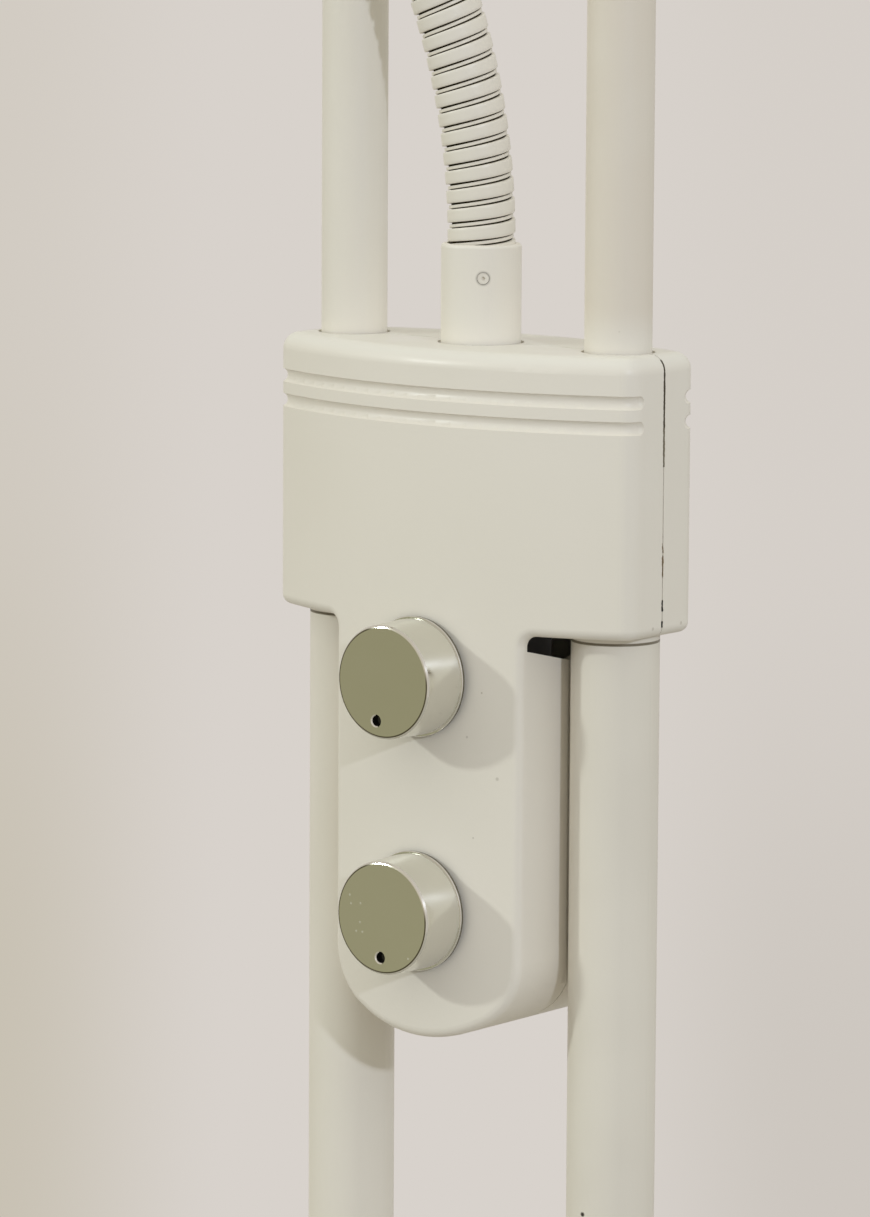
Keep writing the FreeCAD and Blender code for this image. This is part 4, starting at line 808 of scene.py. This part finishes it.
@dataclass
class Gooseneck:
    """The wound steel hose in three lengths along its bend, with the cable inside it."""

    axis_y: float = -1.5 * MM
    start_z: float = 1128.0 * MM
    bend_radius: float = 225.0 * MM
    swivel: float = math.radians(-52.0)
    radius: float = 9.6 * MM
    pitch: float = 5.62 * MM
    lead: float = 0.245
    depth: float = 1.3 * MM
    wall: float = 0.4 * MM
    plug: float = 18.0 * MM
    around: int = 48
    inner_turn: Span = (0.61, 0.96)
    slip: float = 0.022
    nudge: float = 0.0001
    weld: float = 0.01 * MM
    crease: float = math.radians(40)
    cable_radius: float = 3.3 * MM
    cable_steps: int = 24
    cable_sides: int = 20
    bodies: tuple[str, ...] = ("neck_root", "neck_lower", "neck_middle", "reading_head")
    lengths: tuple[str, ...] = ("lower", "middle", "upper")

    # One turn of the strip: place along the pitch and height above the bottom of the seams, both 0 to 1.
    # The inner turn, a range of its points in even steps, slips up on the outside of the bend and down
    # on the inside. The winding begins a share of a turn, the lead, above the end of the ferrule.
    # The nudge keeps the first point of a turn from counting to the turn before.
    strip: tuple[Span, ...] = (
        (0.000, 0.00), (0.035, 0.00), (0.045, 0.80), (0.057, 0.93), (0.085, 1.00),
        (0.250, 1.00), (0.400, 1.00), (0.550, 1.00), (0.675, 1.00), (0.703, 0.93),
        (0.715, 0.80), (0.725, 0.00), (0.785, 0.00), (0.795, 0.50), (0.812, 0.58),
        (0.875, 0.60), (0.938, 0.58), (0.955, 0.50), (0.965, 0.00), (1.000, 0.00))

    def swung(self) -> Matrix:
        """The turn about the ferrule's axis, from straight ahead to the side where the neck hangs."""
        axis = Matrix.Translation((0.0, self.axis_y, 0.0))
        return axis @ Matrix.Rotation(self.swivel, 4, "Z") @ axis.inverted()

    def centre(self, turn: float) -> Vector:
        """Point on the hose's centre line, before the neck is swung.

        Args:
            turn: Angle of the bend so far, in radians.

        Returns:
            The point, in metres.
        """
        return Vector((0.0, self.axis_y - self.bend_radius * (1 - math.cos(turn)),
                       self.start_z + self.bend_radius * math.sin(turn)))

    def tree(self) -> bpy.types.NodeTree:
        """Geometry nodes that wind the strip along the bend.

        Returns:
            The node group, with its sizes as inputs.
        """
        group = bpy.data.node_groups.new("wound_strip", "GeometryNodeTree")
        group.interface.new_socket("Geometry", in_out="OUTPUT", socket_type="NodeSocketGeometry")
        for name, kind in (("Turns", "Int"), ("Around", "Int"), ("Start", "Float"), ("Pitch", "Float"),
                           ("Radius", "Float"), ("Depth", "Float"), ("Bend", "Float"), ("Axis Y", "Float"),
                           ("Start Z", "Float"), ("Material", "Material")):
            group.interface.new_socket(name, in_out="INPUT", socket_type="NodeSocket" + kind)
        wires = Wiring(group)
        given = wires.node("NodeGroupInput").outputs
        spin, height, run = self.winding(wires, given)
        stored = wires.node("GeometryNodeStoreNamedAttribute", data_type="FLOAT", domain="POINT")
        wires.feed(stored.inputs["Name"], "strip_height")
        wires.feed(stored.inputs["Value"], height)
        placed = wires.node("GeometryNodeSetPosition")
        wires.feed(placed.inputs["Position"], self.bent(wires, given, spin, height, run))
        shut = wires.node("GeometryNodeMergeByDistance")
        wires.feed(shut.inputs["Distance"], self.weld)
        outward = wires.node("GeometryNodeFlipFaces")
        smooth = wires.node("GeometryNodeSetShadeSmooth")
        real = wires.node("GeometryNodeRealizeInstances")
        coated = wires.node("GeometryNodeSetMaterial")
        wires.feed(coated.inputs["Material"], given["Material"])
        done = wires.chain(self.sheet(wires, given), stored, placed, shut, outward, smooth, real, coated)
        wires.feed(wires.node("NodeGroupOutput").inputs[0], done)
        return group

    def sheet(self, wires: Wiring, given: Sequence[Socket]) -> Socket:
        """Flat grid for the strip, one unit long for each turn and one unit wide.

        Args:
            wires: The tree to add to.
            given: The tree's inputs.

        Returns:
            The grid's socket.
        """
        steps = len(self.strip) - 1
        grid = wires.node("GeometryNodeMeshGrid")
        wires.feed(grid.inputs["Size X"], given["Turns"])
        wires.feed(grid.inputs["Size Y"], 1.0)
        wires.feed(grid.inputs["Vertices X"], wires.total(wires.product(given["Turns"], float(steps)), 1.0))
        wires.feed(grid.inputs["Vertices Y"], wires.total(given["Around"], 1.0))
        return grid.outputs["Mesh"]

    def winding(self, wires: Wiring, given: Sequence[Socket]) -> tuple[Socket, ...]:
        """Where the points of the grid come on the hose.

        Args:
            wires: The tree to add to.
            given: The tree's inputs.

        Returns:
            The sockets of the angle round the hose, the strip's height and the distance along the hose.
        """
        along, round_, _ = wires.split(wires.node("GeometryNodeInputPosition").outputs[0])
        wound = wires.total(along, wires.product(given["Turns"], 0.5), self.nudge)
        phase, whole = wires.math(Op.FRACTION, wound), wires.math(Op.FLOOR, wound)
        share = wires.total(round_, 0.5)
        spin = wires.product(share, math.tau)
        inner = wires.product(wires.math(Op.GREATER, phase, self.inner_turn[0]),
                              wires.math(Op.LESS, phase, self.inner_turn[1]))
        slipped = wires.product(wires.math(Op.SINE, spin), self.slip, inner)
        place = wires.total(self.lookup(wires, phase, [p for p, _ in self.strip]), slipped)
        height = self.lookup(wires, phase, [h for _, h in self.strip])
        turns = wires.total(whole, place, share)
        return spin, height, wires.total(wires.product(turns, given["Pitch"]), given["Start"])

    def bent(self, wires: Wiring, given: Sequence[Socket], spin: Socket,
             height: Socket, run: Socket) -> Socket:
        """Points on the bent hose, straight on past either end of the bend.

        Args:
            wires: The tree to add to.
            given: The tree's inputs.
            spin: Angle round the hose.
            height: Height of the strip, 0 to 1.
            run: Distance along the hose.

        Returns:
            The points' socket.
        """
        sunk = wires.product(wires.math(Op.SUBTRACT, 1.0, height), given["Depth"])
        reach = wires.math(Op.SUBTRACT, given["Radius"], sunk)
        turn = wires.math(Op.LARGER, wires.math(Op.DIVIDE, run, given["Bend"]), 0.0)
        turn = wires.math(Op.SMALLER, turn, math.pi)
        past = wires.math(Op.SUBTRACT, run, wires.product(turn, given["Bend"]))
        cos_turn, sin_turn = wires.math(Op.COSINE, turn), wires.math(Op.SINE, turn)
        side = wires.product(reach, wires.math(Op.COSINE, spin))
        out = wires.product(reach, wires.math(Op.SINE, spin))
        level = wires.product(wires.math(Op.SUBTRACT, cos_turn, 1.0), given["Bend"])
        y = wires.total(level, given["Axis Y"], wires.product(out, cos_turn))
        rise = wires.total(wires.product(sin_turn, given["Bend"]), wires.product(past, cos_turn))
        z = wires.total(rise, given["Start Z"], wires.product(out, sin_turn))
        return wires.join(side, y, z)

    @staticmethod
    def lookup(wires: Wiring, phase: Socket, values: Sequence[float]) -> Socket:
        """Straight steps through evenly spaced values.

        Args:
            wires: The tree to add to.
            phase: Place in the turn, 0 to 1.
            values: Results at even steps from 0 to 1.

        Returns:
            The result's socket.
        """
        made = wires.node("ShaderNodeFloatCurve")
        curve = made.mapping.curves[0]
        last = len(values) - 1
        curve.points[0].location = (0.0, values[0])
        curve.points[-1].location = (1.0, values[last])
        for index in range(1, last):
            curve.points.new(index / last, values[index])
        for point in curve.points:
            point.handle_type = "VECTOR"
        made.mapping.update()
        wires.feed(made.inputs["Value"], phase)
        return made.outputs[0]

    def wind(self, group: bpy.types.NodeTree, name: str, start: float, turns: int,
             material: bpy.types.Material) -> bpy.types.Object:
        """One length of hose as a plain mesh.

        Args:
            group: The winding node group.
            name: Name of the piece.
            start: Distance along the hose where the first turn begins.
            turns: Turns of strip.
            material: Its finish.

        Returns:
            The object.
        """
        maker = bpy.data.objects.new(name + "_maker", bpy.data.meshes.new(name + "_maker"))
        bpy.context.scene.collection.objects.link(maker)
        modifier = maker.modifiers.new("wind", "NODES")
        modifier.node_group = group
        sizes = {"Turns": turns, "Around": self.around, "Start": start, "Pitch": self.pitch,
                 "Radius": self.radius, "Depth": self.depth, "Bend": self.bend_radius,
                 "Axis Y": self.axis_y, "Start Z": self.start_z, "Material": material}
        for socket in group.interface.items_tree:
            if socket.in_out == "INPUT":
                modifier[socket.identifier] = sizes[socket.name]
        graph = bpy.context.evaluated_depsgraph_get()
        mesh = bpy.data.meshes.new_from_object(maker.evaluated_get(graph))
        bpy.data.objects.remove(maker)
        piece = add_piece(name, mesh)
        wall = piece.modifiers.new("strip", "SOLIDIFY")
        wall.thickness, wall.offset = self.wall, -1.0
        apply_modifiers(piece)
        piece.data.set_sharp_from_angle(angle=self.crease)
        return piece

    def cable(self, name: str, low: float, high: float, material: bpy.types.Material) -> bpy.types.Object:
        """One length of the cable in the hose.

        Args:
            name: Name of the piece.
            low: Bend angle at its start, in radians.
            high: Bend angle at its end.
            material: Its finish.

        Returns:
            The object.
        """
        turns = [low + (high - low) * i / self.cable_steps for i in range(self.cable_steps + 1)]
        points = [self.centre(turn) for turn in turns]
        ways = [Vector((0, -math.sin(turn), math.cos(turn))) for turn in turns]
        return rod(name, points, ways, self.cable_radius, self.cable_sides, material)

    def build(self, finishes: Finishes) -> None:
        """Makes the hose and cable lengths, swung to where the neck hangs, in place of the imported ones.

        Args:
            finishes: The lamp's materials.
        """
        group = self.tree()
        count = len(self.lengths)
        whole = self.bend_radius * math.pi
        before = math.ceil(self.plug / self.pitch)
        marks = [round(whole * i / count / self.pitch) for i in range(count + 1)]
        marks[0] -= before
        marks[-1] += before - 1
        swung = self.swung()
        for index, part in enumerate(self.lengths):
            turns = [end * math.pi / count for end in (index, index + 1)]
            hose = self.wind(group, f"hose_{part}_wound", (marks[index] + self.lead) * self.pitch,
                             marks[index + 1] - marks[index], finishes.by_slot["hose_lacquer"])
            cable = self.cable(f"neck_cable_{part}_sheath", *turns, finishes.by_slot["cable"])
            for piece, node, slot in ((hose, f"hose_{part}", "hose_lacquer"),
                                      (cable, f"neck_cable_{part}", "cable")):
                piece.data.transform(swung)
                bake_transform(piece)
                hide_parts(node)
                log.info("%s: %d faces", piece.name, len(piece.data.polygons))


@dataclass(frozen=True)
class Viewpoint:
    """Where the photograph was taken from."""

    turn: float = math.radians(37.806)
    dip: float = math.radians(7.957)
    roll: float = math.radians(0.316)
    distance: float = 1.761671
    focal_pixels: float = 6148.0
    frame_height: float = 1217.0
    sensor: float = 36.0
    clip: Span = (0.1, 60.0)
    aim: Point = (-0.017078, 0.0, 1.022023)

    def axes(self) -> tuple[Vector, Vector, Vector]:
        """Directions of the picture.

        Returns:
            The picture's right, its up, and the way back to the camera.
        """
        back = Vector((math.sin(self.turn) * math.cos(self.dip), -math.cos(self.turn) * math.cos(self.dip),
                       math.sin(self.dip)))
        right = Vector((math.cos(self.turn), math.sin(self.turn), 0.0))
        up = back.cross(right)
        tilted = right * math.cos(self.roll) + up * math.sin(self.roll)
        return tilted, up * math.cos(self.roll) - right * math.sin(self.roll), back

    def build(self) -> None:
        """Sets the scene's camera."""
        right, up, back = self.axes()
        data = bpy.data.cameras.new("camera")
        data.sensor_width = self.sensor
        data.lens = self.focal_pixels / self.frame_height * self.sensor
        data.clip_start, data.clip_end = self.clip
        camera = bpy.data.objects.new("camera", data)
        bpy.context.scene.collection.objects.link(camera)
        place = Vector(self.aim) + back * self.distance
        rows = [(right[i], up[i], back[i], place[i]) for i in range(3)]
        camera.matrix_world = Matrix((*rows, (0, 0, 0, 1)))
        bpy.context.scene.camera = camera


@dataclass(frozen=True)
class RoundLamp:
    """A round lamp aimed at the housing, with its azimuth and height in degrees."""

    name: str
    azimuth: float
    height: float
    distance: float
    diameter: float
    watts: float
    colour: Colour
    aim: Point = (0.0, 0.0, 0.98)

    def build(self) -> None:
        """Hangs the lamp."""
        a, e = math.radians(self.azimuth), math.radians(self.height)
        back = Vector((math.sin(a) * math.cos(e), -math.cos(a) * math.cos(e), math.sin(e)))
        data = bpy.data.lights.new(self.name, "AREA")
        data.shape, data.size, data.energy, data.color = "DISK", self.diameter, self.watts, self.colour
        lamp = bpy.data.objects.new(self.name, data)
        bpy.context.scene.collection.objects.link(lamp)
        lamp.location = Vector(self.aim) + back * self.distance
        lamp.rotation_mode = "QUATERNION"
        lamp.rotation_quaternion = (-back).to_track_quat("-Z", "Y")


@dataclass
class Studio:
    """Floor, backdrop light, lamps and camera."""

    view: Viewpoint = Viewpoint()
    lamps: tuple[RoundLamp, ...] = (
        RoundLamp("left_lamp", -41.7, 21.8, 3.2, 0.18, 24.5, (0.94, 1.0, 0.972)),
        RoundLamp("right_lamp", 61.0, 20.0, 3.4, 0.12, 29.65, (0.78, 0.845, 1.0)))
    from_above: Colour = (1.087, 1.08, 0.976)
    from_below: Colour = (0.02, 0.02, 0.02)
    steepness: float = 1.6

    # The backdrop dims to the left and right, by the way across the picture, and more at its foot: the
    # levels where that begins and is whole, and how much of it shows above.
    middle: Colour = srgb(216, 210, 204)
    left: Colour = srgb(200, 193, 179)
    left_across: Span = (-0.032, -0.074)
    left_level: tuple[float, float, float] = (0.06, -0.07, 0.4)
    right: Colour = srgb(205, 199, 192)
    right_across: Span = (0.020, 0.060)
    right_level: tuple[float, float, float] = (0.02, -0.08, 0.25)

    # A dim patch of the backdrop that shows in the polished knobs, by its way and its reach.
    flag: Colour = srgb(158, 156, 129)
    flag_way: Point = (-0.607, -0.782, -0.139)
    flag_reach: Span = (math.cos(math.radians(36.0)), math.cos(math.radians(20.0)))

    floor_radius: float = 2.4
    floor_sides: int = 96
    floor_drop: float = 0.5 * MM
    floor_fade: Span = (0.35, 0.97)
    floor_colour: Colour = srgb(176, 171, 164)
    floor_roughness: float = 0.7
    floor_specular: float = 0.2

    def sky(self) -> None:
        """Pale backdrop for the camera, a dim flag on it for reflections, soft light for the rest."""
        world = bpy.data.worlds.new("studio")
        bpy.context.scene.world = world
        world.use_nodes = True
        wires = Wiring(world.node_tree)
        wires.tree.nodes.clear()
        right, up, _ = self.view.axes()
        way = wires.node("ShaderNodeTexCoord").outputs["Generated"]
        across, level = wires.dot(way, tuple(right)), wires.dot(way, tuple(up))
        leftward = wires.product(wires.ramp(across, *self.left_across), wires.ramp(level, *self.left_level))
        rightward = wires.product(wires.ramp(across, *self.right_across),
                                  wires.ramp(level, *self.right_level))
        shade = wires.mix(rightward, wires.mix(leftward, self.middle, self.left), self.right)
        rays = wires.node("ShaderNodeLightPath").outputs
        flagged = wires.product(wires.ramp(wires.dot(way, self.flag_way), *self.flag_reach),
                                rays["Is Glossy Ray"])
        rise = wires.total(wires.product(wires.split(way)[2], 0.5), 0.5)
        rise = wires.math(Op.POWER, rise, self.steepness)
        backdrop, even = wires.node("ShaderNodeBackground"), wires.node("ShaderNodeBackground")
        wires.feed(backdrop.inputs[0], wires.mix(flagged, shade, self.flag))
        wires.feed(even.inputs[0], wires.mix(rise, self.from_below, self.from_above))
        seen = wires.math(Op.LARGER, rays["Is Camera Ray"],
                          wires.math(Op.LARGER, rays["Is Glossy Ray"], rays["Is Transmission Ray"]))
        mixed = wires.node("ShaderNodeMixShader")
        for socket, value in zip(mixed.inputs, (seen, even.outputs[0], backdrop.outputs[0])):
            wires.feed(socket, value)
        wires.feed(wires.node("ShaderNodeOutputWorld").inputs[0], mixed.outputs[0])

    def floor(self) -> None:
        """A pale round floor that fades into the backdrop at its rim."""
        form = bmesh.new()
        bmesh.ops.create_circle(form, cap_ends=True, segments=self.floor_sides, radius=self.floor_radius)
        mesh = bpy.data.meshes.new("floor")
        form.to_mesh(mesh)
        form.free()
        coat = Coat("pale_floor")
        coat.set(Base_Color=self.floor_colour, Roughness=self.floor_roughness,
                 Specular_IOR_Level=self.floor_specular)
        glow = coat.node("ShaderNodeEmission")
        coat.feed(glow.inputs[0], (*self.middle, 1.0))
        x, y, _ = coat.split(coat.place)
        fade = coat.ramp(coat.length(x, y), *(self.floor_radius * share for share in self.floor_fade))
        seen = coat.node("ShaderNodeLightPath").outputs["Is Camera Ray"]
        mixed = coat.node("ShaderNodeMixShader")
        shaders = (coat.shader.outputs[0], glow.outputs[0])
        for socket, value in zip(mixed.inputs, (coat.product(fade, seen), *shaders)):
            coat.feed(socket, value)
        coat.feed(coat.output.inputs["Surface"], mixed.outputs[0])
        mesh.materials.append(coat.material)
        ground = bpy.data.objects.new("floor", mesh)
        bpy.context.scene.collection.objects.link(ground)
        ground.location.z = -self.floor_drop

    def build(self) -> None:
        """Sets up everything round the lamp."""
        self.view.build()
        self.sky()
        self.floor()
        for lamp in self.lamps:
            lamp.build()
        bpy.context.scene.view_settings.view_transform = "Standard"


def main() -> None:
    """Builds the scene piece by piece."""
    logging.basicConfig(level=logging.INFO, format="%(name)s: %(message)s")
    finishes = Finishes()
    finishes.dress_nodes()
    Gooseneck().build(finishes)
    Studio().build()


if __name__ == "__main__":
    main()
